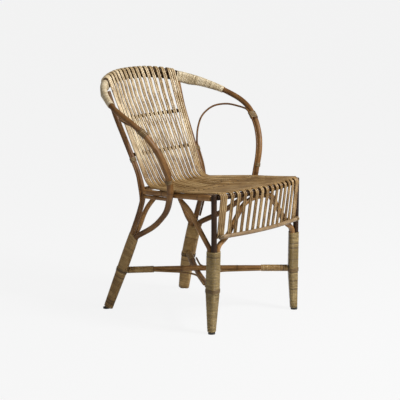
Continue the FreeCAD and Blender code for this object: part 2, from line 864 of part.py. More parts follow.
def rear_brace():
    """Path of the brace from the rear leg's inner side to the rear rail's underside."""
    leave_height = size("rear_wrap_top") - size("rear_wrap_rise") + size("short_setback")
    points = []
    for share in LEG_TAIL_SHARES:
        points.append(beside_rear_leg(mix(band_low, leave_height, share), INWARD, brace_beside))
    leave = beside_rear_leg(leave_height, INWARD, brace_beside)
    rail_z = seat_top(size("seat_rear")) - 2 * cane - inner_rail
    top = Vector(0, size("seat_rear") + size("pole_dia") + pole, rail_z - inner_rail - gap - brace)
    points.append(leave)
    for out, ahead, up in REAR_BRACE_SHARES:
        points.append(Vector(leave.x * out, mix(leave.y, top.y, ahead), mix(leave.z, top.z, up)))
    return rounded_path(points, None, {len(LEG_TAIL_SHARES): size("short_setback")})


rear_brace_path = rear_brace()
add_pair("rear_brace", lambda: tube(rear_brace_path, brace))


# Bound sections: a closed peel wrap follows the outline of the poles inside it

def hull_wire(circles, normal):
    """Outline round circles given as (centre, radius), all in one plane and named in turn round its normal."""
    edges = []
    count = len(circles)
    ends = []
    for i in range(count):
        c0, r0 = circles[i]
        c1, r1 = circles[(i + 1) % count]
        along = unit(c1 - c0)
        side = unit(along.cross(normal))
        lean = (r0 - r1) / (c1 - c0).Length
        out = side * math.sqrt(1 - lean ** 2) + along * lean
        ends.append((c0 + out * r0, c1 + out * r1))
    for i in range(count):
        centre, radius = circles[(i + 1) % count]
        start, arc_start = ends[i]
        arc_end = ends[(i + 1) % count][0]
        middle = unit(((arc_start - centre) + (arc_end - centre)))
        if count == 2:
            middle = unit(centre - circles[i][0])
        edges.append(Part.LineSegment(start, arc_start).toShape())
        edges.append(Part.Arc(arc_start, centre + middle * radius, arc_end).toShape())
    return Part.Wire(edges)


def loft(wires):
    return Part.makeLoft(wires, True, True)


def binding_round(sections, wall, cores):
    """Peel round a bundle's outline, with its poles, given as (path, radius), cut out of it."""
    skin = loft([hull_wire([(c, r + gap + wall) for c, r in circles], normal) for normal, circles in sections])
    for path, radius in cores:
        skin = skin.cut(tube(path, radius + gap))
    return skin


def bound_sleeve(sections, inner, outer):
    """Wrap through sections, each a normal and its (centre, radius) circles, from inner to outer growth."""
    skins = []
    for growth in (outer, inner):
        wires = []
        for normal, circles in sections:
            wires.append(hull_wire([(centre, radius + growth) for centre, radius in circles], normal))
        skins.append(loft(wires))
    return skins[0].cut(skins[1])


def front_leg_section(height, share=1.0):
    """Bundle of the front post, side brace and front brace at a height."""
    post = front_post_at(height)
    to_side = Vector(0, brace_beside * share, 0)
    to_front = Vector(-brace_beside * share, 0, 0)
    return UP, [(post, pole), (post + to_side, brace), (post + to_front, brace)]


def rear_leg_section(height, share=1.0):
    """Bundle of the rear post, the hoop's end and the rear brace, square to the post at a height."""
    post, along = at_height(rear_post_path, height)
    to_hoop = beside_rear_leg(height, FORWARD, side_by_side * share)
    to_brace = beside_rear_leg(height, INWARD, brace_beside * share)
    return along, [(post, pole), (to_brace, brace), (to_hoop, pole)]


peel = gap + size("peel_wall")
# How much of a bundle's width is left at a wrap's lower end
FRONT_BOTTOM_SHARE = 0.3
REAR_BOTTOM_SHARE = 0.6


def front_leg_upper_wrap():
    sections = [front_leg_section(h) for h in (band_low, front_wrap_top)]
    return bound_sleeve(sections, gap, peel)


def front_leg_lower_wrap():
    skin = loft([hull_wire([(c, r + peel) for c, r in circles], normal) for normal, circles in (
        front_leg_section(size("wrap_bottom"), FRONT_BOTTOM_SHARE), front_leg_section(band_low - gap))])
    return skin.cut(tube(front_post_path, pole + gap))


REAR_WRAP_STEPS = 6


def rear_leg_upper_wrap():
    low, high = band_low, size("rear_wrap_top") + size("pole_dia")
    sections = []
    for step in range(REAR_WRAP_STEPS + 1):
        height = mix(low, high, step / REAR_WRAP_STEPS)
        sections.append(rear_leg_section(height))
    wrap = bound_sleeve(sections, gap, peel)
    post, _ = at_height(rear_post_path, size("rear_wrap_top"))
    rise = size("rear_wrap_rise")
    return wrap.cut(half_space(post, Vector(-rise, -rise, size("pole_dia"))))


def rear_leg_lower_wrap():
    skins = []
    for up in (0.0, 0.5, 1.0):
        height = mix(size("glide_height"), band_low - gap, up)
        normal, circles = rear_leg_section(height, mix(REAR_BOTTOM_SHARE, 1, up))
        skins.append(hull_wire([(c, r + peel) for c, r in circles], normal))
    core = tube(rear_post_path, pole + gap)
    return above_height(loft(skins).cut(core), size("wrap_bottom"))


add_pair("front_leg_wrap", lambda: Part.makeCompound([front_leg_upper_wrap(), front_leg_lower_wrap()]))
add_pair("rear_leg_wrap", lambda: Part.makeCompound([rear_leg_upper_wrap(), rear_leg_lower_wrap()]))


def leg_band(section):
    """Raised binding round a leg at the stretchers."""
    sections = [section(h) for h in (band_low, band_high)]
    return bound_sleeve(sections, peel + gap, peel + gap + size("band_wall"))


add_piece("leg_bands", with_mirror([leg_band(front_leg_section), leg_band(rear_leg_section)]))

# Stretchers: two diagonals, one over the other

def stretcher_end(post, other):
    """Point beside a leg's binding, on the way from its post to the opposite one."""
    direction = unit(other - post)
    return post + direction * (size("stretcher_dia") + pole + gap)


def stretcher_posts(side):
    """Middles of the two posts that a stretcher joins. The upper stretcher slopes down to the rear."""
    height = size("stretcher_height")
    slope = size("stretcher_slope") if side > 0 else 0
    rear, _ = at_height(rear_post_path, height)
    front = front_post_at(height)
    return Vector(-side * rear.x, rear.y, height - slope), Vector(side * front.x, front.y, height + slope)


CROSSING_SHARE = 1 - ARC_SHARE / 2


def stretcher_points(side):
    """Diagonal from one rear leg to the opposite front leg; the one of side +1 passes over."""
    rear, front = stretcher_posts(side)
    start = stretcher_end(rear, front)
    end = stretcher_end(front, rear)
    share = rear.x / (rear.x - front.x)
    middle = mix_points(rear, front, share)
    lift = size("crossing_lift")
    middle.z += (lift if side > 0 else lift - size("stretcher_dia") - gap) / CROSSING_SHARE
    return [start, middle, end]


stretcher_paths = {side: rounded_path(stretcher_points(side)) for side in (-1, 1)}
add_piece("upper_stretcher", tube(stretcher_paths[1], stretcher))
add_piece("lower_stretcher", tube(stretcher_paths[-1], stretcher))


def stretcher_wraps():
    """Peel wraps on the four ends of the stretchers."""
    shapes = []
    for side in (-1, 1):
        start, middle, end = stretcher_points(side)
        for post_end in (start, end):
            direction = unit(middle - post_end)
            run = rounded_path([post_end + direction * gap, post_end + direction * size("stretcher_wrap_length")])
            shapes.append(sleeve(run, stretcher + gap, stretcher + gap + size("peel_wall")))
    return Part.makeCompound(shapes)


add_piece("stretcher_wraps", stretcher_wraps())


def stretcher_ties():
    """Four thin canes, one in each angle of the crossing, that run beside two stretchers."""
    arms = []
    for side in (-1, 1):
        start, middle, end = stretcher_points(side)
        for post_end in (start, end):
            level = Vector(middle.x, middle.y, post_end.z)
            reach = (post_end - level).Length - size("stretcher_wrap_length") - gap
            arms.append((level, unit(post_end - level), reach))
    arms.sort(key=lambda arm: math.atan2(arm[1].y, arm[1].x))
    shapes = []
    beside = stretcher + gap + loop
    for i, (centre, first, first_reach) in enumerate(arms):
        _, second, second_reach = arms[(i + 1) % len(arms)]
        half_angle = first.getAngle(second) / 2
        inward = unit(first + second)
        corner = centre + inward * (beside / math.sin(half_angle))
        slide = beside / math.tan(half_angle)
        points = [corner + first * (first_reach - slide), corner, corner + second * (second_reach - slide)]
        points[1].z += size("crossing_lift") - stretcher
        shapes.append(tube(rounded_path(points, {1: size("tie_bend")}), loop))
    return Part.makeCompound(shapes)


add_piece("stretcher_ties", stretcher_ties())

# Peel wraps on the arms, over the hoop and the end of the rail under it

# Share of the hoop's half length from the joint, and how far the second circle still hangs below the hoop
ARM_WRAP_SHARES = ((0.0484, 1.0), (0.0314, 1.0), (0.0164, 1.0), (0.0014, 1.0), (-0.0136, 0.8), (-0.0286, 0.62),
                   (-0.0436, 0.5), (-0.0586, 0.38), (-0.0736, 0.26), (-0.0886, 0.16), (-0.1036, 0.08))
INNER_RAIL_DROP = pole + gap + inner_rail
inner_rail_samples = inner_rail_path.discretize(Number=4 * SAMPLES)[:2 * SAMPLES]


def below_hoop(place, share):
    """Point under the hoop, square to it and towards the rail below it."""
    centre, along = hoop_arm_at(place)
    nearest = min(inner_rail_samples, key=lambda point: (point - centre).Length)
    down = nearest - centre
    down = unit(down - along * down.dot(along))
    return centre + down * INNER_RAIL_DROP * share


def arm_wrap():
    sections = []
    for step, share in ARM_WRAP_SHARES:
        centre, along = hoop_arm_at(joint_place + step)
        below = below_hoop(joint_place + step, share)
        circles = [(centre, pole), (below, mix(pole - 2 * gap, inner_rail, share))]
        sections.append((along, circles))
    return binding_round(sections, size("peel_wall"), [(hoop_path, pole), (inner_rail_path, inner_rail)])


add_pair("arm_wrap", arm_wrap)

# Thin loops: up the front of the post, under the arm and down its inner side

# Shares of the height from the leg wrap's top to the lower rail behind the slats, and the side of the post
LOOP_POST_SHARES = ((0.07, (1, -1)), (0.2, (1, -0.95)), (0.35, (1, -0.7)), (0.45, (1, -0.25)), (0.53, (1, 0)),
                    (0.64, (1, 0)), (0.74, (1, -0.3)), (0.85, (1, -0.4)), (0.94, (1, -0.4)), (1.0, (1, -0.4)))
# Shares of half width, reach and height between the post and the loop's widest point
LOOP_SHARES = ((0.05, -0.03, 0.36), (0.23, -0.04, 0.75), (0.54, 0.15, 1.03), (0.86, 0.5, 1.09), (1.0, 1.0, 1.0))
LOOP_ARM_PLACES = (0.57, 0.545, 0.515, 0.485, 0.455, 0.43, 0.405, 0.385, 0.365, 0.345, 0.32, 0.295, 0.27, 0.245,
                   0.22, 0.2)


def beside_arm(place):
    """Point on the inner side of the arm, square to it."""
    centre, along = hoop_arm_at(place)
    away = unit(INWARD - along * INWARD.dot(along))
    return centre + away * (pole + 3 * gap + loop)


LOOP_SIDE = (1, -0.4)


def beside_back_post(height, side=LOOP_SIDE):
    """Centre of the rear post at a height, its direction, and the thin loop's point on a side of it."""
    centre, along = at_height(rear_post_path, height)
    outward = Vector(*side, 0)
    away = unit(outward - along * outward.dot(along))
    return centre, along, centre + away * (pole + gap + loop)


def arm_loop_points():
    low, high = size("rear_wrap_top"), lower_rail_height
    post_side = [beside_back_post(mix(low, high, share), side)[2] for share, side in LOOP_POST_SHARES]
    start = post_side[-1]
    arm_wide = Vector(size("arm_half_width"), size("arm_wide_reach"), arm_wide_height)
    wide = arm_wide - Vector(size("loop_inset"), size("loop_lead"), size("loop_drop"))
    turn = []
    for out, ahead, up in LOOP_SHARES:
        turn.append(Vector(mix(start.x, wide.x, out), mix(start.y, wide.y, ahead), mix(start.z, wide.z, up)))
    return post_side + turn + [beside_arm(place) for place in LOOP_ARM_PLACES]


arm_loop_path = rounded_path(arm_loop_points())
add_pair("arm_loop", lambda: tube(arm_loop_path, loop))

# Short bindings that hold the thin loops to the arms and posts

ARM_RING_PLACES = (0.556, 0.533)
POST_RING_SHARES = (-0.22, -0.11)


def loop_bindings():
    arm_sections = []
    for place in ARM_RING_PLACES:
        centre, along = hoop_arm_at(place)
        arm_sections.append((along, [(centre, pole), (beside_arm(place), loop)]))
    post_sections = []
    for share in POST_RING_SHARES:
        centre, along, beside = beside_back_post(mix(lower_rail_height, upper_rail_height, share))
        post_sections.append((along, [(centre, pole), (beside, loop)]))
    loop_core = (arm_loop_path, loop)
    return [binding_round(arm_sections, size("peel_wall"), [(hoop_path, pole), loop_core]),
            binding_round(post_sections, size("peel_wall"), [(rear_post_path, pole), loop_core])]


add_piece("loop_bindings", with_mirror(loop_bindings()))


# Glides and nails

def add_cylinder(name, radius, height, place):
    """Upright cylinder whose radius and height are expressions of the sheet."""
    cylinder = doc.addObject("Part::Cylinder", name)
    cylinder.setExpression("Radius", radius)
    cylinder.setExpression("Height", height)
    cylinder.Placement = FreeCAD.Placement(place, FreeCAD.Rotation())
    return cylinder


def add_compound(name, links):
    compound = doc.addObject("Part::Compound", name)
    compound.Label = name
    compound.Links = links
    pieces.append(compound)


rear_foot = Vector(size("rear_foot_half_width"), size("rear_foot_reach"), 0)
feet = [front_foot, rear_foot] + mirror([front_foot, rear_foot])
add_compound("glides", [add_cylinder("glide", "dimensions.glide_dia / 2", "dimensions.glide_height", foot)
                        for foot in feet])


def add_nails():
    nails = []
    for number in range(SLATS):
        place = mix(-1, 1, number / (SLATS - 1))
        seats = [cane_seats[(place, side)] for side in (-1, 1)]
        top = max(seats[0].z, seats[1].z) + cane + gap
        head = Vector((seats[0].x + seats[1].x) / 2, seats[0].y, top)
        shank = head - UP * size("nail_shank_length")
        nails.append(add_cylinder("nail_head", "dimensions.nail_head_dia / 2", "dimensions.nail_head_height", head))
        nails.append(add_cylinder("nail_shank", "dimensions.nail_shank_dia / 2", "dimensions.nail_shank_length",
                                  shank))
    add_compound("seat_nails", nails)


add_nails()

# Write-up of the shapes

def check_pieces():
    for item in doc.Objects:
        if "Invalid" in item.State or "Error" in item.State:
            raise RuntimeError(f"{item.Label} failed: {item.State}")
    for piece in pieces:
        if piece.Shape.isNull() or not piece.Shape.isValid():
            raise RuntimeError(f"{piece.Label} has no valid shape")


def main():
    front_face = cane_front_face()
    back_face = size("hoop_top_reach") + cane_round_pole + cane
    middle = Vector(0, -(front_face + back_face) / 2, 0)
    for piece in pieces:
        piece.Placement = FreeCAD.Placement(middle, FreeCAD.Rotation())
    doc.recompute()
    check_pieces()
    os.makedirs("parts", exist_ok=True)
    for piece in pieces:
        piece.Shape.exportStep(f"parts/{piece.Label}.step")


def cane_front_face():
    """Foremost reach of the chair: the canes over the middle of the front top rail."""
    return size("seat_front") - cane_round_pole - cane


main()
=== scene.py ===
import math

import bpy
import numpy as np
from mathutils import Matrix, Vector


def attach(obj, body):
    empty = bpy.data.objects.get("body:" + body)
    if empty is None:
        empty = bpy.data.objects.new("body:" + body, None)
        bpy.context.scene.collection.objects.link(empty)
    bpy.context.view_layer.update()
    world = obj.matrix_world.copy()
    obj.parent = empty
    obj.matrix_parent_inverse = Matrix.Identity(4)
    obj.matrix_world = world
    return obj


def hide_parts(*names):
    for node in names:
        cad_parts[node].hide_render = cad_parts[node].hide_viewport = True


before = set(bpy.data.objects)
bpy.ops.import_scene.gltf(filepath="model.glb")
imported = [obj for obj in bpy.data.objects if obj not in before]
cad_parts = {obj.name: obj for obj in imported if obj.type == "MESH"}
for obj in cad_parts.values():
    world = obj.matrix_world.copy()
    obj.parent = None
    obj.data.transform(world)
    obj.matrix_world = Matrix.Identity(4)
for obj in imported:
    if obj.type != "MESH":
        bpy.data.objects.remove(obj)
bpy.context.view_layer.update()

# A rattan armchair in metres: bent poles, paired canes, peel bindings, nails and glides

MM = 0.001
SLATS = 17
CANE = 2.9 * MM
FILLER = 2.25 * MM
SEED = 7

# Route points in millimetres: name, diameter, points, bends with a setback of their own
MIDDLE_ROUTES = (
    ("arm_hoop", 18, ((165.4, 157, 140.2), (162.7, 149.7, 161.2), (160.2, 142.1, 182.2), (157.9, 134.4, 203.4),
        (155.6, 126.7, 224.5), (153.6, 118.8, 245.6), (169.3, 19.6, 295.4), (195.6, -53.7, 355.2),
        (207.9, -77.5, 415.1), (212, -79.5, 445), (226.2, -79.5, 491), (243.9, -66.5, 541.1),
        (263.1, -35.3, 593.4), (278.7, 11.5, 633.1), (283, 50.5, 654), (277.3, 90.4, 670.7),
        (261.8, 129.2, 688.3), (230.6, 180.9, 711.3), (184, 226.8, 730.4), (127.4, 258.5, 744.2),
        (63.7, 279.6, 751), (0, 285.5, 752)), {5: 14}),
    ("hoop_inner_rail", 15, ((212.2, 199.1, 701), (198.6, 212.2, 706.6), (182.4, 225.5, 712.3),
        (148.7, 238.5, 722.2), (132.1, 246.8, 726.1), (105.2, 257.7, 730.7), (77.8, 266.4, 733.9),
        (51.2, 272.1, 735.8), (25.7, 275, 736.5), (0, 276, 736.7)), {}),
    ("upper_back_rail", 12, ((159.3, 193.4, 622), (148.3, 186.7, 618.1), (128.2, 196.5, 616),
        (97.3, 205.7, 614.5), (66.1, 211.8, 613.7), (31.4, 215.2, 613.4), (0, 216.1, 613.3)), {}),
    ("lower_back_rail", 12, ((151.3, 140.5, 512), (140.2, 138.4, 508.1), (120.2, 144, 506.6),
        (91.2, 148.9, 505.5), (61.9, 152, 505), (29.4, 153.7, 504.7), (0, 154.2, 504.7)), {}),
    ("front_top_rail", 18, ((193.2, -255.5, 424.9), (154.6, -266.3, 424.9), (106.3, -276.4, 424.9),
        (54.1, -283.1, 424.9), (0, -285.5, 424.9)), {}),
    ("apron_rail", 13, ((192.2, -265.2, 304), (153.7, -273.9, 304), (105.7, -282.1, 304), (53.8, -287.6, 304),
        (0, -289.5, 304)), {}),
    ("seat_bearer", 18, ((180.5, -77.5, 405.4), (171.4, -77.5, 405.4), (147.4, -77.5, 401.5),
        (99.4, -77.5, 395.5), (51.3, -77.5, 392), (0, -77.5, 390.8)), {}),
    ("rear_rail", 15, ((148.4, 87.2, 403.8), (0, 87.2, 403.8)), {}),
)
SIDE_ROUTES = (
    ("front_post", 18, ((205, -245.5, 0), (201, -252, 257), (202.5, -252, 433.3)), {}),
    ("rear_post", 18, ((188, 219.5, 0), (165.9, 180.2, 130.9), (153.2, 138.3, 246.4), (147.8, 108.2, 323.4),
        (147, 88.5, 385), (147.8, 107.5, 446), (151.4, 142.9, 516.6), (155.4, 167.4, 568),
        (159.4, 195.9, 625.8), (167, 224.5, 706)), {}),
    ("side_rail", 18, ((202.5, -252, 422), (191.8, -164.8, 415.1), (181, -77.5, 408.3), (165.8, 7.7, 401.6),
        (147.2, 92.9, 394.9)), {}),
    ("lower_side_rail", 12, ((176.7, -53.7, 391.1), (164.4, 12.5, 385.9), (149.7, 81.6, 380.5)), {}),
    ("front_brace", 16, ((185.7, -248.7, 128), (184.1, -251.7, 273), (139.9, -253.4, 297.2),
        (106.8, -254.6, 343), (73.7, -261.4, 388.8), (40.5, -269.9, 404.9), (4.3, -281, 407.6)), {1: 16}),
    ("side_brace", 16, ((203, -231.4, 128), (201.5, -234.3, 265), (198.3, -195.1, 311.1),
        (191.9, -142.7, 372.5), (184.1, -103.5, 393)), {1: 8}),
    ("rear_brace", 16, ((149.9, 181.1, 125.8), (146.7, 173.1, 149.6), (143.8, 164.7, 173.5),
        (141.2, 156.2, 197.1), (138.6, 147.5, 220.8), (136.3, 138.7, 244.6), (114.5, 138.2, 272.1),
        (94, 137.3, 310.5), (79.1, 135.4, 331.1), (49.1, 122.4, 368.2), (8.2, 111.5, 381.9)), {5: 8}),
    ("arm_loop", 6.5, ((160.8, 120.8, 267.8), (158.6, 107.9, 301.6), (158.1, 95.3, 341), (159.4, 91.5, 368.5),
        (159.7, 93.1, 389.8), (160, 98.9, 418.2), (160.1, 104.9, 445.3), (161, 117.1, 474.4),
        (162.2, 128.8, 497.8), (163.1, 136.4, 513.3), (168.7, 139.5, 554.6), (188.8, 140.5, 599.3),
        (223.5, 121.1, 631.4), (259.3, 85.5, 638.3), (275, 34.5, 628), (262.2, 2.7, 625.4),
        (255.4, -17.6, 608.4), (246.5, -39, 585.3), (236.6, -56, 558.7), (226.2, -68.9, 530.1),
        (217.2, -75.8, 504.8), (208.6, -79.3, 478.4), (201.9, -79.5, 456.7), (197.1, -78.7, 433.4),
        (193.8, -75.7, 412.1), (188.7, -66.3, 386.8), (183.1, -54.6, 362.9), (176.3, -37.8, 342.6),
        (168.9, -17.3, 325.6), (161.9, 4.3, 308.8), (157, 22.5, 296.3)), {}),
)
STRETCHER_ROUTES = (
    ((148.4, 157.7, 134), (0, -14, 114.3), (-185.1, -228.2, 134)),
    ((-148.4, 157.7, 130.4), (0, -14, 137.5), (185.1, -228.2, 137.6)),
)
TIE_ROUTES = (
    ((-121.8, -174.2, 134), (0, -33.2, 128), (121.8, -174.2, 134)),
    ((140.8, -157.8, 137.6), (16.6, -14, 131.6), (104, 87.2, 137.6)),
    ((85.1, 103.6, 134), (0, 5.2, 128), (-85.1, 103.6, 134)),
    ((-104, 87.2, 130.4), (-16.6, -14, 124.4), (-140.8, -157.7, 130.4)),
)
EDGE_ROUTES = (
    ((144.1, 66.5, 410.2), (168.1, -4.3, 415.7), (193, -78.3, 421.5), (193.6, -174.5, 429.1),
     (194.4, -255.1, 437.8)),
)
# A slat cane's seat corner, the reaches of its next points and the height of its low end
SLAT_CORNER = (84.5, 408.1)
SLAT_REACHES = (-4.3, -78.3, -174.5)
SLAT_FOOT_HEIGHT = 297.5
# Points of each cane's back, then its places from the corner on, heights, front bend and low end's reach
SLAT_CANES = (
    (((-164.3, 243.6, 716.6), (-166.2, 255.2, 742.9), (-157.3, 234.6, 752.6), (-154, 214.8, 707.5),
     (-151.6, 200.1, 674.2), (-146.7, 172.1, 611.3), (-144.9, 160.7, 584.9), (-142.7, 147.3, 554.1),
     (-140.6, 134.9, 525.5)), (-132.2, -162.3, -187.2, -187.9, -188.7), (415.1, 420.9, 428.4), (-270.7, 438.6),
     -254.7),
    (((-158.5, 246.7, 718), (-160.4, 258.3, 744.4), (-151.5, 237.8, 754.1), (-148.2, 218, 708.9),
     (-145.8, 203.3, 675.6), (-141.1, 175.2, 610.6), (-139, 163.5, 584.3), (-136.8, 149.7, 553.5),
     (-134.6, 137, 524.9)), (-125.8, -155.9, -180.8, -181.5, -182.3), (415.1, 420.9, 428.4), (-272.6, 438.6),
     -256.2),
    (((-151.2, 250.5, 719.5), (-153.2, 262.4, 745.7), (-144.8, 241.8, 755.7), (-141.5, 221.2, 710.4),
     (-140, 208.2, 675.6), (-135.3, 178.7, 609.8), (-133.3, 166.6, 583.5), (-131, 152.4, 552.8),
     (-128.8, 139.3, 524.3)), (-119.4, -149.5, -174.4, -175.1, -175.9), (412.9, 418.4, 426.9), (-274.6, 438.9),
     -257.7),
    (((-145.4, 253.5, 720.9), (-147.3, 265.5, 747), (-139, 244.8, 757.1), (-135.6, 224.2, 711.8),
     (-134.1, 211.2, 676.9), (-129.1, 181.4, 609.3), (-124.4, 170, 582.8), (-122.5, 155.3, 552.2),
     (-122.4, 141.1, 523.9)), (-113, -143.1, -168, -168.7, -169.5), (412.9, 418.4, 426.9), (-276.4, 438.8),
     -259.1),
    (((-130.1, 260.5, 723.6), (-131.7, 272.8, 749.4), (-124.6, 251.9, 759.8), (-121.8, 230.2, 714.4),
     (-121, 217.8, 678.3), (-117.4, 185.6, 608.7), (-118.4, 171.9, 582.6), (-115.8, 157.1, 552),
     (-111.6, 143.6, 523.4)), (-102.8, -128.6, -149.9, -150.5, -151.2), (409.8, 414.3, 424.3), (-281.3, 439.2),
     -262.8),
    (((-124.1, 263, 724.6), (-125.7, 275.4, 750.4), (-118.6, 254.5, 760.9), (-115.8, 232.7, 715.4),
     (-115, 220.4, 679.3), (-110.5, 187.7, 608.4), (-106.1, 175.3, 582), (-104.5, 159.8, 551.5),
     (-104.8, 145, 523.2)), (-96.4, -122.2, -143.5, -144.1, -144.8), (409.8, 414.3, 424.3), (-282.8, 439.2),
     -264.1),
    (((-109, 268.6, 726.6), (-110.3, 281.3, 752.1), (-104.4, 260.2, 762.8), (-102, 237.6, 717.3),
     (-101.7, 225.4, 680.4), (-98.7, 190.8, 607.9), (-100, 176.7, 581.9), (-97.8, 161.2, 551.3),
     (-93.8, 146.9, 522.9)), (-86.2, -107.7, -125.5, -126, -126.6), (407.2, 410.8, 422.2), (-286.9, 439.4),
     -267.2),
    (((-102.9, 270.7, 727.4), (-104.2, 283.4, 752.8), (-98.3, 262.4, 763.6), (-95.9, 239.7, 718.1),
     (-95.5, 227.5, 681.1), (-91.7, 192.5, 607.7), (-87.5, 179.4, 581.5), (-86.2, 163.2, 551),
     (-86.9, 148, 522.7)), (-79.8, -101.3, -119.1, -119.6, -120.2), (407.2, 410.8, 422.2), (-288.2, 439.4),
     -268.3),
    (((-88, 275.4, 728.8), (-89, 288.4, 754.1), (-84, 267.3, 765.1), (-82.2, 243.8, 719.5), (-82.1, 231.5, 682),
     (-79.8, 195, 607.5), (-81.5, 180.5, 581.4), (-79.5, 164.3, 550.9), (-75.8, 149.5, 522.5)),
     (-69.6, -86.8, -101, -101.4, -101.9), (405.1, 407.9, 420.4), (-291.6, 439.6), -270.9),
    (((-81.8, 277.2, 729.4), (-82.8, 290.2, 754.6), (-77.8, 269, 765.7), (-75.9, 245.6, 720.1),
     (-75.9, 233.3, 682.6), (-72.7, 196.2, 607.4), (-68.7, 182.5, 581.2), (-67.8, 165.9, 550.7),
     (-68.9, 150.2, 522.5)), (-63.2, -80.4, -94.6, -95, -95.5), (405.1, 407.9, 420.4), (-292.7, 439.6), -271.7),
    (((-66.7, 280.8, 730.5), (-67.5, 294, 755.5), (-63.9, 272.7, 766.8), (-62.5, 248.6, 721.1),
     (-62.4, 236.2, 683.2), (-60.8, 198, 607.2), (-62.8, 183.3, 581.1), (-61.2, 166.6, 550.7),
     (-57.8, 151.3, 522.4)), (-53, -65.9, -76.6, -76.9, -77.2), (403.4, 405.7, 419), (-295.3, 439.8), -273.7),
    (((-60.4, 282.1, 730.8), (-61.2, 295.2, 755.9), (-57.6, 273.9, 767.2), (-56.2, 249.9, 721.5),
     (-56.1, 237.4, 683.6), (-53.6, 198.8, 607.2), (-49.9, 184.6, 581), (-49.4, 167.7, 550.6),
     (-50.8, 151.8, 522.3)), (-46.6, -59.5, -70.2, -70.5, -70.8), (403.4, 405.7, 419), (-296.1, 439.8), -274.3),
    (((-45.5, 284.4, 731.4), (-46, 297.7, 756.3), (-43.8, 276.3, 767.8), (-42.8, 251.9, 722.1),
     (-42.7, 239.2, 684), (-41.7, 199.9, 607.1), (-44, 185.1, 581), (-42.7, 168.1, 550.5),
     (-39.7, 152.4, 522.3)), (-36.4, -45, -52.1, -52.3, -52.5), (402.2, 404.1, 418), (-298, 439.9), -275.8),
    (((-39.1, 285.1, 731.6), (-39.6, 298.4, 756.4), (-37.4, 277, 767.9), (-36.5, 252.6, 722.3),
     (-36.4, 239.9, 684.2), (-34.5, 200.4, 607.1), (-31.2, 185.9, 581), (-31, 168.8, 550.5),
     (-32.7, 152.7, 522.2)), (-30, -38.6, -45.7, -45.9, -46.1), (402.2, 404.1, 418), (-298.5, 439.9), -276.2),
    (((-24.4, 286.4, 731.8), (-24.7, 299.8, 756.6), (-23.4, 278.3, 768.2), (-22.9, 253.7, 722.5),
     (-23, 240.9, 684.3), (-22.7, 201, 607.1), (-25.2, 186.2, 580.9), (-24.3, 169, 550.5),
     (-21.6, 153.1, 522.2)), (-19.8, -24.1, -27.7, -27.8, -27.9), (401.5, 403.2, 417.4), (-299.6, 439.9), -277),
    (((-18, 286.8, 731.8), (-18.3, 300.2, 756.7), (-17, 278.8, 768.2), (-16.6, 254.1, 722.6),
     (-16.6, 241.3, 684.4), (-15.5, 201.3, 607), (-12.4, 186.6, 580.9), (-12.5, 169.3, 550.5),
     (-14.6, 153.2, 522.2)), (-13.4, -17.7, -21.3, -21.4, -21.5), (401.5, 403.2, 417.4), (-299.9, 439.9),
     -277.2),
    (((-3.2, 287.3, 731.9), (-3.2, 300.7, 756.7), (-3.2, 279.2, 768.3), (-3.2, 254.5, 722.6),
     (-3.2, 241.6, 684.5), (-3.6, 201.5, 607), (-6.4, 186.7, 580.9), (-5.9, 169.4, 550.5),
     (-3.5, 153.3, 522.2)), (-3.2, -3.2, -3.2, -3.2, -3.2), (401.3, 402.9, 417.2), (-300.2, 440), -277.5),
)
SLAT_ROUTES = [[*back, (places[0], *SLAT_CORNER), *zip(places[1:-1], SLAT_REACHES, heights),
                (places[-1], *bend), (places[-1], foot, SLAT_FOOT_HEIGHT)]
               for back, places, heights, bend, foot in SLAT_CANES]
# A filler cane's reaches and the height of its front end, and each one's places, heights and front end
FILLER_REACHES = (-35.5, -78.3, -174.5)
FILLER_FRONT_HEIGHT = 437.8
FILLERS = (
    ((-148.2, -161.8, -162.4, -163.2), (414.5, 417.4, 426.5), -264.1),
    ((-143.3, -156.2, -156.8, -157.5), (413.7, 416.5, 425.9), -265.5),
    ((-125.8, -137.3, -137.9, -138.5), (411.1, 413.5, 424.1), -270.1),
    ((-120.9, -131.7, -132.3, -132.9), (410.5, 412.7, 423.6), -271.3),
    ((-103.3, -112.9, -113.3, -113.8), (408.4, 410.3, 422.1), -275.1),
    ((-98.4, -107.3, -107.7, -108.2), (407.8, 409.6, 421.7), -276.1),
    ((-80.9, -88.4, -88.8, -89.2), (406.1, 407.7, 420.5), -279.1),
    ((-76, -82.8, -83.1, -83.5), (405.7, 407.2, 420.2), -279.9),
    ((-58.5, -63.9, -64.2, -64.5), (404.4, 405.7, 419.2), -282.2),
    ((-53.6, -58.4, -58.6, -58.8), (404.1, 405.3, 419), -282.7),
    ((-36.1, -39.5, -39.6, -39.8), (403.3, 404.3, 418.4), -284.2),
    ((-31.2, -33.9, -34, -34.2), (403.1, 404.1, 418.3), -284.6),
    ((-13.7, -15, -15.1, -15.2), (402.7, 403.6, 418), -285.3),
    ((-8.8, -9.4, -9.5, -9.5), (402.6, 403.6, 417.9), -285.4),
)
FILLER_ROUTES = [[*zip(places, FILLER_REACHES, heights), (places[-1], front, FILLER_FRONT_HEIGHT)]
                 for places, heights, front in FILLERS]

# Bends in millimetres: a slat cane over the hoop, from back to seat and over the front top rail, and a tie cane
HOOP_BEND = 12.2
SEAT_BEND = 45.0
SLAT_BENDS = {1: HOOP_BEND, 2: HOOP_BEND, 9: SEAT_BEND, 13: HOOP_BEND}
TIE_BENDS = {1: 70.0}

random = np.random.default_rng(SEED)

# Lines

# A bend without a size of its own takes this share of the shorter run beside it
ARC_SHARE = 0.45
NEARLY_STRAIGHT = math.radians(0.3)
ARC_STEP = math.radians(5)
FEWEST_STEPS = 2
# Directions that no line of the chair starts along
FRAME_HINT = (0.3, 0.5, 0.81)
OUTLINE_HINT = (0.21, 0.35, 0.91)


def unit(vectors):
    """Vectors at length one."""
    vectors = np.asarray(vectors, float)
    return vectors / np.linalg.norm(vectors, axis=-1, keepdims=True)


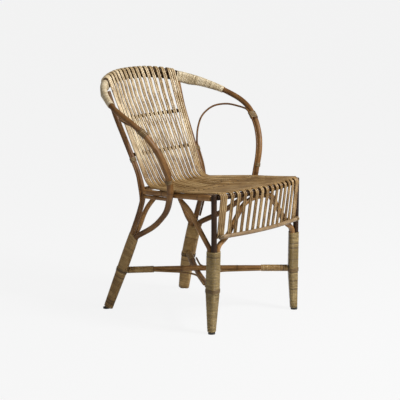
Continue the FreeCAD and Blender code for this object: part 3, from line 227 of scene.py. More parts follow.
def mirrored(points):
    return np.asarray(points, float) * (-1, 1, 1)


def lengths_along(line):
    """Distance of each point from the start of its line."""
    return np.r_[0, np.cumsum(np.linalg.norm(np.diff(line, axis=0), axis=1))]


def spots_along(line, lengths, places):
    """Points of a line at distances from its start."""
    return np.stack([np.interp(places, lengths, line[:, axis]) for axis in range(3)], -1)


def point_along(line, measures, place):
    """Point of a line where its rising measure has a value, and the direction there."""
    index = int(np.clip(np.searchsorted(measures, place), 1, len(line) - 1))
    low, high = line[index - 1], line[index]
    share = (place - measures[index - 1]) / (measures[index] - measures[index - 1])
    return low + (high - low) * share, unit(high - low)


def point_at_height(line, height):
    return point_along(line, line[:, 2], height)


def resample(line, step):
    """Even samples of a line, as close as a step."""
    lengths = lengths_along(line)
    count = max(int(math.ceil(lengths[-1] / step)), FEWEST_STEPS)
    return spots_along(line, lengths, np.linspace(0, lengths[-1], count + 1))


def rounded_line(points, step, radii=None, setbacks=None):
    """Samples, in metres, along straight runs joined by tangent arcs, from points in millimetres."""
    radii = radii or {}
    setbacks = setbacks or {}
    points = np.asarray(points, float) * MM
    line = [points[0]]
    for i in range(1, len(points) - 1):
        corner = points[i]
        before = unit(points[i - 1] - corner)
        after = unit(points[i + 1] - corner)
        turn = math.pi - math.acos(np.clip(before @ after, -1, 1))
        if turn < NEARLY_STRAIGHT:
            continue
        setback = ARC_SHARE * min(np.linalg.norm(points[i - 1] - corner), np.linalg.norm(points[i + 1] - corner))
        if i in radii:
            setback = radii[i] * MM * math.tan(turn / 2)
        if i in setbacks:
            setback = setbacks[i] * MM
        radius = setback / math.tan(turn / 2)
        centre = corner + unit(before + after) * radius / math.cos(turn / 2)
        start = corner + before * setback - centre
        end = corner + after * setback - centre
        steps = max(int(math.ceil(turn / ARC_STEP)), FEWEST_STEPS)
        for share in np.linspace(0, 1, steps + 1):
            arm = (math.sin((1 - share) * turn) * start + math.sin(share * turn) * end) / math.sin(turn)
            line.append(centre + arm)
    line.append(points[-1])
    return resample(np.array(line), step * MM)


def frames(line):
    """Tangents of a line and two directions across it, carried along without twist."""
    tangents = unit(np.gradient(line, axis=0))
    across = np.cross(tangents[0], FRAME_HINT)
    normals = []
    for tangent in tangents:
        across = across - tangent * (across @ tangent)
        across = across / np.linalg.norm(across)
        normals.append(across)
    normals = np.array(normals)
    return tangents, normals, np.cross(tangents, normals)


# Meshes. Each point has three attributes: grain is a place across and along the fibres, ring is the closeness
# to a node of the cane, and tone is a lighter or darker shade.

class Pieces:
    """Collects surfaces of one object."""

    def __init__(self):
        self.points = []
        self.faces = []
        self.grain = []
        self.ring = []
        self.tone = []
        self.count = 0

    def add(self, points, faces, grain, ring, tone):
        points = np.asarray(points).reshape(-1, 3)
        self.points.append(points)
        self.faces += [[index + self.count for index in face] for face in faces]
        self.grain.append(np.asarray(grain).reshape(-1, 3))
        self.ring.append(np.broadcast_to(ring, len(points)))
        self.tone.append(np.broadcast_to(tone, len(points)))
        self.count += len(points)

    def extend(self, other):
        self.points += other.points
        self.faces += [[index + self.count for index in face] for face in other.faces]
        self.grain += other.grain
        self.ring += other.ring
        self.tone += other.tone
        self.count += other.count

    def make(self, name, skin, slot, *nodes):
        mesh = bpy.data.meshes.new(name)
        mesh.from_pydata(np.concatenate(self.points).tolist(), [], self.faces)
        grain = mesh.attributes.new("grain", "FLOAT_VECTOR", "POINT")
        grain.data.foreach_set("vector", np.concatenate(self.grain).astype(np.float32).ravel())
        for title, values in (("ring", self.ring), ("tone", self.tone)):
            attribute = mesh.attributes.new(title, "FLOAT", "POINT")
            attribute.data.foreach_set("value", np.concatenate(values).astype(np.float32))
        mesh.polygons.foreach_set("use_smooth", [True] * len(mesh.polygons))
        mesh.materials.append(skins[skin])
        mesh.update()
        piece = bpy.data.objects.new(name, mesh)
        bpy.context.scene.collection.objects.link(piece)
        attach(piece, "root")
        if nodes:
            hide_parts(*nodes)


def flipped(pieces):
    """The same surfaces on the other side of the chair."""
    copy = Pieces()
    copy.points = [mirrored(points) for points in pieces.points]
    copy.faces = [face[::-1] for face in pieces.faces]
    copy.grain, copy.ring, copy.tone, copy.count = pieces.grain, pieces.ring, pieces.tone, pieces.count
    return copy


def grid_faces(rows, columns, closed_rows=False):
    """Faces between rows of points whose columns close on themselves."""
    faces = []
    for row in range(rows if closed_rows else rows - 1):
        low = row * columns
        high = (row + 1) % rows * columns
        for column in range(columns):
            side = (column + 1) % columns
            faces.append((low + column, low + side, high + side, high + column))
    return faces


# Poles and canes: round, with a low ridge and a darker ring at uneven distances

END_ROUNDING = 0.16
RIDGE_WIDTH = 2.2 * MM
RIDGE_LOSS = 0.975
FIRST_NODE = (0.25, 0.9)
NODE_STEPS = (0.75, 1.25)
MIDDLE_TONE = 0.5
SECTION_TONE = 0.12
POLE_TONE = 0.08
# Each length takes its fibres from a place of its own
GRAIN_SPREAD = 50


def node_places(length, spacing):
    places = []
    place = spacing * random.uniform(*FIRST_NODE)
    while place < length:
        places.append(place)
        place += spacing * random.uniform(*NODE_STEPS)
    return np.array(places or [2 * length])


def add_pole(pieces, line, radius, sides, spacing):
    """Round pole or cane along a line, with nodes and slightly rounded ends."""
    tangents, normals, binormals = frames(line)
    along = lengths_along(line)
    places = node_places(along[-1], spacing)
    distance = np.abs(along[:, None] - places[None]).min(1)
    ring = np.exp(-(distance / RIDGE_WIDTH) ** 2)
    shades = random.uniform(-SECTION_TONE, SECTION_TONE, len(places) + 1)
    tone = MIDDLE_TONE + shades[np.searchsorted(places, along)] + random.uniform(-POLE_TONE, POLE_TONE)
    sizes = radius * (RIDGE_LOSS + (1 - RIDGE_LOSS) * ring)
    rounding = END_ROUNDING * radius
    first = np.array([line[0], line[0] + tangents[0] * rounding])
    final = np.array([line[-1] - tangents[-1] * rounding, line[-1]])
    spots = np.concatenate([first, line[1:-1], final])
    rows = np.r_[0, 0, np.arange(1, len(line) - 1), len(line) - 1, len(line) - 1]
    sizes = sizes[rows]
    sizes[0] *= 1 - END_ROUNDING
    sizes[-1] *= 1 - END_ROUNDING
    angles = np.linspace(0, 2 * math.pi, sides, endpoint=False)
    circle = normals[rows][:, None] * np.cos(angles)[None, :, None]
    circle = circle + binormals[rows][:, None] * np.sin(angles)[None, :, None]
    points = spots[:, None] + circle * sizes[:, None, None]
    offset = random.uniform(0, GRAIN_SPREAD)
    grain = np.broadcast_arrays(np.cos(angles)[None] + offset, np.sin(angles)[None], along[rows][:, None])
    faces = grid_faces(len(spots), sides)
    faces.append(list(range(sides))[::-1])
    faces.append([(len(spots) - 1) * sides + i for i in range(sides)])
    pieces.add(points, faces, np.stack(grain, -1), np.repeat(ring[rows], sides), np.repeat(tone[rows], sides))


# Windings: closed turns of flat peel round a bundle of poles

SUPPORT_SAMPLES = 96
TURN_PROFILE = np.array(
    ((-0.5, 0.0), (-0.5, 0.35), (-0.4, 0.8), (-0.15, 1.0), (0.15, 1.0), (0.4, 0.8), (0.5, 0.35), (0.5, 0.0)))
EDGE_START = 0.3
EDGE_WIDTH = 0.2
COVER = 0.94
NEVER_ZERO = 1e-12
TURN_TONE = 0.14
DARK_TURN = 0.85
LEAST_TILT = 0.5


def crossing(line, spot, normal):
    """Point where a line crosses the plane through a spot, nearest to it."""
    heights = (line - spot) @ normal
    places = np.nonzero(heights[:-1] * heights[1:] <= 0)[0]
    if len(places) == 0:
        return None
    shares = heights[places] / (heights[places] - heights[places + 1] + NEVER_ZERO)
    points = line[places] + (line[places + 1] - line[places]) * shares[:, None]
    return points[np.linalg.norm(points - spot, axis=1).argmin()]


def bundle_outline(circles, normal, samples):
    """Even samples of the tight outline round circles in a plane, with outward directions."""
    side = unit(np.cross(normal, OUTLINE_HINT))
    other = np.cross(normal, side)
    angles = np.linspace(0, 2 * math.pi, SUPPORT_SAMPLES, endpoint=False)
    directions = np.cos(angles)[:, None] * side + np.sin(angles)[:, None] * other
    centres = np.array([centre for centre, _ in circles])
    radii = np.array([radius for _, radius in circles])
    widest = (directions @ centres.T + radii).argmax(1)
    loop = centres[widest] + directions * radii[widest][:, None]
    closed = np.vstack([loop, loop[:1]])
    outward = np.vstack([directions, directions[:1]])
    lengths = lengths_along(closed)
    places = np.linspace(0, lengths[-1], samples, endpoint=False)
    return spots_along(closed, lengths, places), unit(spots_along(outward, lengths, places)), places


def add_turn(pieces, circles, normal, width, thickness, samples, tilt, tone, dark=0.0):
    """One turn of peel round a bundle."""
    points, facing, places = bundle_outline(circles, normal, samples)
    phase = np.cos(np.linspace(0, 2 * math.pi, samples, endpoint=False))
    points = points + normal * (phase * tilt)[:, None]
    across, out = TURN_PROFILE.T
    body = points[:, None] + facing[:, None] * (out * thickness)[None, :, None]
    body = body + normal * (across * width)[None, :, None]
    edge = np.clip((np.abs(across) - EDGE_START) / EDGE_WIDTH, 0, 1)
    offset = random.uniform(0, GRAIN_SPREAD)
    grain = np.stack(np.broadcast_arrays(across[None] * 2 + offset, np.zeros((1, 1)), places[:, None]), -1)
    # every row is one cross-section, and the rows close round the bundle
    faces = grid_faces(samples, len(TURN_PROFILE), closed_rows=True)
    pieces.add(body, faces, grain, np.maximum(np.tile(edge, samples), dark), tone)


def add_turns(pieces, bundle_at, length, pitch, thickness, tilt_share=0.3, dark_share=0.06, samples=36):
    """Turns side by side. bundle_at gives the axis and the circles at a distance from the start."""
    count = max(int(round(length / pitch)), 1)
    pitch = length / count
    for number in range(count):
        axis, circles = bundle_at((number + 0.5) * pitch)
        tone = MIDDLE_TONE + random.uniform(-TURN_TONE, TURN_TONE)
        dark = DARK_TURN if random.uniform() < dark_share else 0.0
        tilt = 0.0
        if number not in (0, count - 1):
            tilt = tilt_share * pitch * random.uniform(LEAST_TILT, 1)
        add_turn(pieces, circles, axis, pitch * COVER, thickness, samples, tilt, tone, dark)


# Materials

COAT_ROUGHNESS = 0.3


class Shader:
    """A material. Each call adds a step and returns its socket, and takes sockets, numbers or colours."""

    def __init__(self, name, roughness, specular, coat=0.0):
        self.material = bpy.data.materials.new(name)
        self.material.use_nodes = True
        self.nodes = self.material.node_tree.nodes
        self.links = self.material.node_tree.links
        self.inputs = self.nodes["Principled BSDF"].inputs
        for title, value in (("Roughness", roughness), ("Specular IOR Level", specular),
                             ("Coat Weight", coat), ("Coat Roughness", COAT_ROUGHNESS)):
            self.inputs[title].default_value = value
        self.place = self.nodes.new("ShaderNodeTexCoord").outputs["Object"]

    def feed(self, socket, value):
        if isinstance(value, bpy.types.NodeSocket):
            self.links.new(value, socket)
        elif isinstance(value, tuple):
            socket.default_value = (*value, 1)
        else:
            socket.default_value = value

    def attribute(self, name, output="Fac"):
        node = self.nodes.new("ShaderNodeAttribute")
        node.attribute_name = name
        return node.outputs[output]

    def scaled(self, source, scale):
        """A vector scaled along each axis."""
        node = self.nodes.new("ShaderNodeVectorMath")
        node.operation = "MULTIPLY"
        node.inputs[1].default_value = scale
        self.links.new(source, node.inputs[0])
        return node.outputs[0]

    def noise(self, vector, scale, detail=3.0, rough=0.55):
        node = self.nodes.new("ShaderNodeTexNoise")
        for title, value in (("Scale", scale), ("Detail", detail), ("Roughness", rough), ("Vector", vector)):
            self.feed(node.inputs[title], value)
        return node.outputs["Fac"]

    def ramp(self, source, stops):
        """Colours between places of a value."""
        node = self.nodes.new("ShaderNodeValToRGB")
        elements = node.color_ramp.elements
        while len(elements) < len(stops):
            elements.new(0.5)
        for element, (place, colour) in zip(elements, stops):
            element.position = place
            element.color = (*colour, 1)
        self.links.new(source, node.inputs["Fac"])
        return node.outputs["Color"]

    def mixed(self, mode, share, first, second):
        """Two colours mixed."""
        node = self.nodes.new("ShaderNodeMix")
        node.data_type = "RGBA"
        node.blend_type = mode
        node.clamp_factor = True
        self.feed(node.inputs[0], share)
        for socket, value in zip([s for s in node.inputs if s.type == "RGBA"], (first, second)):
            self.feed(socket, value)
        return [s for s in node.outputs if s.type == "RGBA"][0]

    def arithmetic(self, operation, first, second):
        node = self.nodes.new("ShaderNodeMath")
        node.operation = operation
        for socket, value in zip(node.inputs, (first, second)):
            self.feed(socket, value)
        return node.outputs[0]

    def above(self, value, start, gain):
        """How far a value lies above a start, times a gain."""
        return self.arithmetic("MULTIPLY", self.arithmetic("SUBTRACT", value, start), gain)

    def relief(self, height, strength, depth):
        node = self.nodes.new("ShaderNodeBump")
        node.inputs["Strength"].default_value = strength
        node.inputs["Distance"].default_value = depth
        self.links.new(height, node.inputs["Height"])
        self.links.new(node.outputs["Normal"], self.inputs["Normal"])


# Height under which the slat canes are browner, and the height over which the change takes place
TINT_TOP = 0.5
TINT_FADE = 0.05
PATCH_SHARE = 0.6
TONE_SHARE = 0.5
FIBRE_NOISE = (2.2, 5.0, 0.7)
STREAKS = (0.42, 3.2)
SPECK_NOISE = (420.0, 2.0)
SPECKS = (0.62, 3.0)
SPECK_RELIEF = 0.3
ROUGHNESS_BELOW = 0.1
ROUGHNESS_SPREAD = 0.2
RELIEF_DEPTH = 0.0006
# Fibre scale, relief strength and patch scale of each kind of skin
KINDS = {
    "pole": ((2.4, 2.4, 9.0), 0.25, 16.0),
    "cane": ((1.6, 1.6, 14.0), 0.2, 22.0),
    "peel": ((2.0, 2.0, 60.0), 0.2, 26.0),
}
USUAL = (0.3, 0.52, 0.75)
DEEP = (0.3, 0.55, 0.8)
# Kind, roughness, specular, coat and ring share; places and colours of the shades; ring, streak and low tint
SKINS = {
    "rattan_pole_skin": (
        ("pole", 0.46, 0.25, 0.02, 0.8), USUAL,
        ((0.055, 0.022, 0.005), (0.12, 0.053, 0.013), (0.23, 0.118, 0.036)),
        (0.04, 0.015, 0.005), (0.42, 0.31, 0.2), None),
    "rattan_brace_skin": (
        ("pole", 0.44, 0.28, 0.03, 0.8), USUAL,
        ((0.105, 0.046, 0.012), (0.215, 0.105, 0.03), (0.36, 0.2, 0.07)),
        (0.05, 0.02, 0.007), (0.42, 0.32, 0.21), None),
    # Near black: painted shade on the rails that lie behind the slats of the back (hoop inner rail, upper and lower
    # back rails); the front top rail and the front posts take the same skin
    "rattan_dark_skin": (
        ("pole", 0.52, 0.2, 0.0, 0.8), DEEP,
        ((0.011, 0.004, 0.001), (0.027, 0.011, 0.003), (0.06, 0.027, 0.009)),
        (0.01, 0.004, 0.002), (0.5, 0.4, 0.3), None),
    "rattan_pale_pole_skin": (
        ("pole", 0.44, 0.28, 0.03, 0.8), USUAL,
        ((0.125, 0.075, 0.034), (0.235, 0.158, 0.083), (0.35, 0.258, 0.155)),
        (0.08, 0.04, 0.016), (0.5, 0.4, 0.3), None),
    "cane_skin": (
        ("cane", 0.4, 0.33, 0.05, 0.7), (0.32, 0.5, 0.7),
        ((0.13, 0.076, 0.028), (0.38, 0.268, 0.133), (0.72, 0.6, 0.4)),
        (0.08, 0.04, 0.015), (0.4, 0.3, 0.19), (0.63, 0.53, 0.38)),
    "seat_cane_skin": (
        ("cane", 0.42, 0.3, 0.04, 0.6), USUAL,
        ((0.1, 0.048, 0.013), (0.21, 0.118, 0.037), (0.36, 0.225, 0.085)),
        (0.08, 0.04, 0.014), (0.46, 0.35, 0.23), None),
    "peel_skin": (
        ("peel", 0.38, 0.33, 0.05, 0.75), USUAL,
        ((0.13, 0.09, 0.031), (0.27, 0.2, 0.083), (0.46, 0.36, 0.185)),
        (0.06, 0.034, 0.012), (0.46, 0.37, 0.24), (0.86, 0.82, 0.72)),
    "arm_peel_skin": (
        ("peel", 0.36, 0.35, 0.06, 0.75), USUAL,
        ((0.3, 0.23, 0.125), (0.56, 0.46, 0.295), (0.8, 0.71, 0.53)),
        (0.1, 0.06, 0.026), (0.5, 0.42, 0.31), None),
    "brown_peel_skin": (
        ("peel", 0.4, 0.3, 0.03, 0.75), USUAL,
        ((0.07, 0.04, 0.013), (0.15, 0.093, 0.034), (0.26, 0.175, 0.074)),
        (0.03, 0.015, 0.006), (0.48, 0.38, 0.26), None),
    "rear_peel_skin": (
        ("peel", 0.36, 0.33, 0.05, 0.75), USUAL,
        ((0.15, 0.084, 0.026), (0.31, 0.19, 0.066), (0.49, 0.335, 0.14)),
        (0.06, 0.03, 0.011), (0.48, 0.39, 0.27), None),
    "far_peel_skin": (
        ("peel", 0.36, 0.33, 0.05, 0.75), USUAL,
        ((0.24, 0.14, 0.047), (0.47, 0.3, 0.115), (0.68, 0.48, 0.215)),
        (0.09, 0.045, 0.016), (0.5, 0.41, 0.29), None),
    # Near black turns: painted shade where the hoop and the back rails lie behind the slats
    "painted_shade_peel_skin": (
        ("peel", 0.48, 0.2, 0.0, 0.7), DEEP,
        ((0.018, 0.008, 0.003), (0.042, 0.021, 0.008), (0.09, 0.05, 0.02)),
        (0.01, 0.005, 0.002), (0.5, 0.42, 0.32), None),
}


def rattan_material(name, finish, places, shades, ring_colour, streak_colour, low_tint):
    """Skin of a cane or pole: patches, long fibres, darker nodes and a shade of its own for each length."""
    kind, roughness, specular, coat, ring_share = finish
    fibre_scale, bump, patch_scale = KINDS[kind]
    skin = Shader(name, roughness, specular, coat)
    patches = skin.arithmetic("MULTIPLY", skin.noise(skin.place, patch_scale), PATCH_SHARE)
    tone = skin.arithmetic("MULTIPLY", skin.attribute("tone"), TONE_SHARE)
    colour = skin.ramp(skin.arithmetic("ADD", patches, tone), tuple(zip(places, shades)))
    if low_tint:
        split = skin.nodes.new("ShaderNodeSeparateXYZ")
        skin.links.new(skin.place, split.inputs[0])
        depth = skin.arithmetic("SUBTRACT", TINT_TOP, split.outputs["Z"])
        colour = skin.mixed("MULTIPLY", skin.arithmetic("DIVIDE", depth, TINT_FADE), colour, low_tint)
    fibres = skin.noise(skin.scaled(skin.attribute("grain", "Vector"), fibre_scale), *FIBRE_NOISE)
    streaks = skin.above(skin.arithmetic("SUBTRACT", 1.0, fibres), *STREAKS)
    colour = skin.mixed("MULTIPLY", streaks, colour, streak_colour)
    specks = skin.noise(skin.place, *SPECK_NOISE)
    colour = skin.mixed("MULTIPLY", skin.above(specks, *SPECKS), colour, streak_colour)
    ring = skin.arithmetic("MULTIPLY", skin.attribute("ring"), ring_share)
    skin.links.new(skin.mixed("MIX", ring, colour, ring_colour), skin.inputs["Base Color"])
    spread = skin.arithmetic("MULTIPLY", fibres, ROUGHNESS_SPREAD)
    skin.links.new(skin.arithmetic("ADD", roughness - ROUGHNESS_BELOW, spread), skin.inputs["Roughness"])
    specks = skin.arithmetic("MULTIPLY", specks, SPECK_RELIEF)
    skin.relief(skin.arithmetic("ADD", fibres, specks), bump, RELIEF_DEPTH)
    return skin.material


skins = {name: rattan_material(name, *row) for name, row in SKINS.items()}

# Roughness and specular
GLIDE_FINISH = (0.5, 0.4)
NAIL_FINISH = (0.4, 0.5)
NAIL_METAL = 0.5
SCUFF_STRETCH = (1, 1, 6)
GRIT_RELIEF = 0.3
SCUFF_NOISE = (120.0, 4.0, 0.7)
SCUFF_SHADES = ((0.35, (0.018, 0.016, 0.013)), (0.6, (0.035, 0.031, 0.025)), (0.78, (0.11, 0.1, 0.085)))
GRIT_NOISE = (900.0, 2.0)
TARNISH_NOISE = (500.0, 4.0)
TARNISH_SHADES = ((0.35, (0.02, 0.012, 0.007)), (0.55, (0.06, 0.042, 0.028)), (0.8, (0.2, 0.16, 0.12)))


def glide_material():
    """Moulded foot: near black, finely pitted, scuffed near the floor."""
    skin = Shader("glide_plastic", *GLIDE_FINISH)
    scuffs = skin.noise(skin.scaled(skin.place, SCUFF_STRETCH), *SCUFF_NOISE)
    skin.links.new(skin.ramp(scuffs, SCUFF_SHADES), skin.inputs["Base Color"])
    skin.relief(skin.noise(skin.place, *GRIT_NOISE), GRIT_RELIEF, RELIEF_DEPTH / 2)
    return skin.material


def nail_material():
    """Small steel head, dulled and browned."""
    skin = Shader("nail_steel", *NAIL_FINISH)
    skin.inputs["Metallic"].default_value = NAIL_METAL
    tarnish = skin.noise(skin.place, *TARNISH_NOISE)
    skin.links.new(skin.ramp(tarnish, TARNISH_SHADES), skin.inputs["Base Color"])
    return skin.material

# Poles, rails and braces

SAMPLE_STEP = 4.0
POLE_SIDES = 20
CANE_SIDES = 10
# Poles thinner than this, in millimetres, have as many sides as a cane
THIN = 7
NODE_SPACING = 0.21
SLAT_NODE_SPACING = 0.273
CONTACT = 0.4 * MM
JOINT_SHARE = 0.39372
GLIDE_HEIGHT = 5.0 * MM
FOOT_LIFT = CANE / 5
SIDES = ("right_", "left_")

POLE_SKINS = {
    "rattan_pole_skin": ("arm_pole", "back_bow", "rear_post", "arm_loop"),
    # The near black skin paints the shade on the rails behind the back's slats; the front top rail and front posts
    # share it
    "rattan_dark_skin": ("hoop_inner_rail", "upper_back_rail", "lower_back_rail", "front_top_rail", "front_post"),
    "rattan_pale_pole_skin": ("apron_rail",),
    "rattan_brace_skin": ("seat_bearer", "rear_rail", "side_rail", "lower_side_rail", "front_brace", "side_brace",
                          "rear_brace"),
}
pole_skins = {name: skin for skin, names in POLE_SKINS.items() for name in names}
lines = {}


def whole_line(points, setbacks, step):
    """Line of a route that is its own mirror image, from its right half."""
    half = np.asarray(points, float)
    full = np.vstack([half, mirrored(half[:-1])[::-1]])
    bends = dict(setbacks)
    for index, setback in setbacks.items():
        bends[len(full) - 1 - index] = setback
    return rounded_line(full, step, None, bends)


# The hoop is an arm pole on each side and a bow between them
_, HOOP_DIAMETER, HOOP_POINTS, HOOP_SETBACKS = MIDDLE_ROUTES[0]
hoop = whole_line(HOOP_POINTS, HOOP_SETBACKS, SAMPLE_STEP)
joint = round(JOINT_SHARE * (len(hoop) - 1))
lines["right_arm_pole"] = hoop[:joint + 1]
lines["left_arm_pole"] = mirrored(hoop[:joint + 1])
lines["back_bow"] = hoop[joint:len(hoop) - joint]
for name, _, points, setbacks in MIDDLE_ROUTES[1:]:
    lines[name] = whole_line(points, setbacks, SAMPLE_STEP)
for name, _, points, setbacks in SIDE_ROUTES:
    line = rounded_line(points, SAMPLE_STEP, None, setbacks)
    lines["right_" + name] = line
    lines["left_" + name] = mirrored(line)

# The legs stand on their glides
for title in [side + leg for leg in ("front_post", "rear_post") for side in SIDES]:
    line = lines[title]
    foot, _ = point_at_height(line, GLIDE_HEIGHT)
    upper = line[np.nonzero(line[:, 2] > GLIDE_HEIGHT)[0][0]:]
    lines[title] = resample(np.vstack([foot + (0, 0, FOOT_LIFT), upper]), SAMPLE_STEP * MM)

diameters = {name: diameter for name, diameter, _, _ in MIDDLE_ROUTES[1:] + SIDE_ROUTES}
diameters.update(arm_pole=HOOP_DIAMETER, back_bow=HOOP_DIAMETER)


def shorten(name, *others):
    """Ends of a rail stand off the poles that they meet."""
    line = lines[name]
    for other in others:
        neighbour = resample(lines[other], MM)
        gaps = np.array([np.linalg.norm(neighbour - point, axis=1).min() for point in line])
        line = line[gaps > diameters[other.split("_", 1)[1]] * MM / 2 + CONTACT]
    lines[name] = line


for rail in ("upper_back_rail", "lower_back_rail", "rear_rail"):
    shorten(rail, "right_rear_post", "left_rear_post")
for rail in ("rear_rail", "seat_bearer"):
    shorten(rail, "right_side_rail", "left_side_rail")
for side in SIDES:
    shorten(side + "side_rail", side + "front_post", side + "rear_post")

for name, diameter in diameters.items():
    for title in [name] if name in lines else [side + name for side in SIDES]:
        pieces = Pieces()
        add_pole(pieces, lines[title], diameter * MM / 2, CANE_SIDES if diameter < THIN else POLE_SIDES,
                 NODE_SPACING)
        pieces.make(title + "_rattan", pole_skins[name], "cane" if "loop" in name else "pole", title)

# Stretchers and their ties

STRETCHER = 9 * MM
LOOP = 3.25 * MM
stretcher_lines = [rounded_line(points, SAMPLE_STEP) for points in STRETCHER_ROUTES]
for title, line in (("upper_stretcher", stretcher_lines[1]), ("lower_stretcher", stretcher_lines[0])):
    pieces = Pieces()
    add_pole(pieces, line, STRETCHER, POLE_SIDES, NODE_SPACING)
    pieces.make(title + "_rattan", "rattan_brace_skin", "pole", title)

ties = Pieces()
for points in TIE_ROUTES:
    add_pole(ties, rounded_line(points, SAMPLE_STEP, TIE_BENDS), LOOP, CANE_SIDES, NODE_SPACING)
ties.make("stretcher_ties_rattan", "seat_cane_skin", "cane", "stretcher_ties")

# Slats, filler canes and edge canes

route_lines = [rounded_line(points, SAMPLE_STEP, SLAT_BENDS) for points in SLAT_ROUTES]
slat_lines = []
for number in range(SLATS):
    turned = number > SLATS // 2
    first = 2 * (SLATS - 1 - number if turned else number)
    pair = route_lines[first:first + 2]
    if len(pair) == 1:
        pair = [pair[0], mirrored(pair[0])]
    if turned:
        pair = [mirrored(line) for line in pair]
    slat_lines.append(pair)

for number, pair in enumerate(slat_lines):
    pieces = Pieces()
    for line in pair:
        add_pole(pieces, line, CANE, CANE_SIDES, SLAT_NODE_SPACING)
    title = f"slat_{number + 1:02d}"
    pieces.make(title + "_canes", "cane_skin", "cane", title)

for title, routes in (("seat_filler_canes", FILLER_ROUTES), ("seat_edge_canes", EDGE_ROUTES)):
    pieces = Pieces()
    for points in routes:
        line = rounded_line(points, SAMPLE_STEP)
        add_pole(pieces, line, FILLER, CANE_SIDES, NODE_SPACING)
        add_pole(pieces, mirrored(line), FILLER, CANE_SIDES, NODE_SPACING)
    pieces.make(title + "_rattan", "seat_cane_skin", "cane", title)

# Windings of peel

GAP = 0.3 * MM
PEEL = 1.5 * MM
BAND_WALL = 1.0 * MM
POLE = 9.0 * MM
BRACE = 8.0 * MM
BACK_RAIL = 6.0 * MM
INNER_RAIL = 7.5 * MM
APRON_RAIL = 6.5 * MM
LEG_PITCH = 4.7 * MM
BAND_PITCH = 4 * MM
LEG_SAMPLES = 48
STRETCHER_HEIGHT = 134 * MM
BAND_HALF = 6 * MM
BAND_LOW = STRETCHER_HEIGHT - BAND_HALF
WRAP_TOPS = {"front": 257 * MM, "rear": 252 * MM}
WRAP_BOTTOMS = {"front": 7 * MM, "rear": 8.2 * MM}
BOTTOM_SHARES = {"front": 0.3, "rear": 0.6}
# Height on each leg where all its poles still lie side by side
BASE_HEIGHTS = {"front": STRETCHER_HEIGHT, "rear": STRETCHER_HEIGHT + 2 * BAND_HALF + MM}
WRAP_SKINS = {"front": ("peel_skin", "peel_skin"), "rear": ("far_peel_skin", "rear_peel_skin")}
REAR_WRAP_RISE = 14 * MM
SLANT_REACH = 60 * MM
UP = np.array((0.0, 0.0, 1.0))

hoop_line = whole_line(HOOP_POINTS, HOOP_SETBACKS, SAMPLE_STEP / 2)
hoop_half = hoop_line[:len(hoop_line) // 2 + 1]
hoop_lengths = lengths_along(hoop_half)
hoop_length = hoop_lengths[-1]


def bundle_in_plane(spot, normal, poles):
    """Circles where poles, given as line and radius, cross a plane near a spot."""
    circles = []
    for line, radius in poles:
        centre = crossing(line, spot, normal)
        if centre is not None:
            circles.append((centre, radius + GAP))
    return circles


def leg_wrap(side, leg):
    """Turns on one leg, above and below its band, and the band's thinner turns over them."""
    post = lines[side + leg + "_post"]
    front = leg == "front"
    if front:
        poles = [(post, POLE), (lines[side + "side_brace"], BRACE), (lines[side + "front_brace"], BRACE)]
    else:
        tail = hoop_half if side == "right_" else mirrored(hoop_half)
        poles = [(post, POLE), (lines[side + "rear_brace"], BRACE), (tail, POLE)]
    top, bottom, bottom_share = WRAP_TOPS[leg], WRAP_BOTTOMS[leg], BOTTOM_SHARES[leg]
    outward = 1 if side == "right_" else -1
    slanted = unit((-outward * REAR_WRAP_RISE, -REAR_WRAP_RISE, 2 * POLE))

    def bundle(height, share=1.0):
        """Axis and circles at a height. share draws the other poles in towards the leg."""
        spot, axis = point_at_height(post, height)
        if front:
            axis = UP
        else:
            turned = np.clip((height - top + SLANT_REACH) / SLANT_REACH, 0, 1)
            axis = unit(axis + (slanted - axis) * turned)
        circles = bundle_in_plane(spot, axis, poles)
        if len(circles) < len(poles):
            base, base_axis = point_at_height(post, BASE_HEIGHTS[leg])
            low = bundle_in_plane(base, UP if front else base_axis, poles)
            circles = [(spot + centre - low[0][0], radius) for centre, radius in low]
        first = circles[0][0]
        return axis, circles[:1] + [(first + (centre - first) * share, radius) for centre, radius in circles[1:]]

    def lower(s):
        height = BAND_LOW - GAP - s * steep
        share = bottom_share + (1 - bottom_share) * (height - bottom) / (BAND_LOW - bottom)
        return bundle(height, float(np.clip(share, bottom_share, 1)))

    def band(s):
        axis, circles = bundle(BAND_LOW + s)
        return axis, [(centre, radius + PEEL + GAP) for centre, radius in circles]

    steep = 1.0 if front else point_at_height(post, STRETCHER_HEIGHT)[1][2]
    turns = Pieces()
    add_turns(turns, lambda s: bundle(BAND_LOW + s * steep), (top - BAND_LOW) / steep, LEG_PITCH, PEEL,
              samples=LEG_SAMPLES)
    add_turns(turns, lower, (BAND_LOW - bottom) / steep, LEG_PITCH, PEEL, samples=LEG_SAMPLES)
    turns.make(f"{side}{leg}_leg_wrap_turns", WRAP_SKINS[leg][SIDES.index(side)], "peel", f"{side}{leg}_leg_wrap")
    add_turns(bands, band, 2 * BAND_HALF, BAND_PITCH, BAND_WALL, tilt_share=0.0, samples=LEG_SAMPLES)


bands = Pieces()
for side in SIDES:
    for leg in ("front", "rear"):
        leg_wrap(side, leg)
bands.make("leg_bands_turns", "brown_peel_skin", "peel", "leg_bands")


def hoop_place(share):
    """Point of the hoop's right half from its low end at 0 to the middle of the back at 1, and its direction."""
    return point_along(hoop_half, hoop_lengths, share * hoop_length)


# Arm wraps: over the hoop and the end of the rail below it, and tapering off to the hoop alone

JOINT = 2 * JOINT_SHARE
ARM_WRAP_PLACES = JOINT + np.array((-0.1036, -0.0886, -0.0736, -0.0586, -0.0436, -0.0286, -0.0136, 0.0014, 0.0484))
ARM_WRAP_SHARES = (0.08, 0.16, 0.26, 0.38, 0.5, 0.62, 0.8, 1.0, 1.0)
ARM_WRAP_PITCH = 4.3 * MM
ARM_WRAP_SAMPLES = 44
ARM_DARK_SHARE = 0.04
INNER_DROP = POLE + GAP + INNER_RAIL
rail_half = lines["hoop_inner_rail"][:len(lines["hoop_inner_rail"]) // 2]


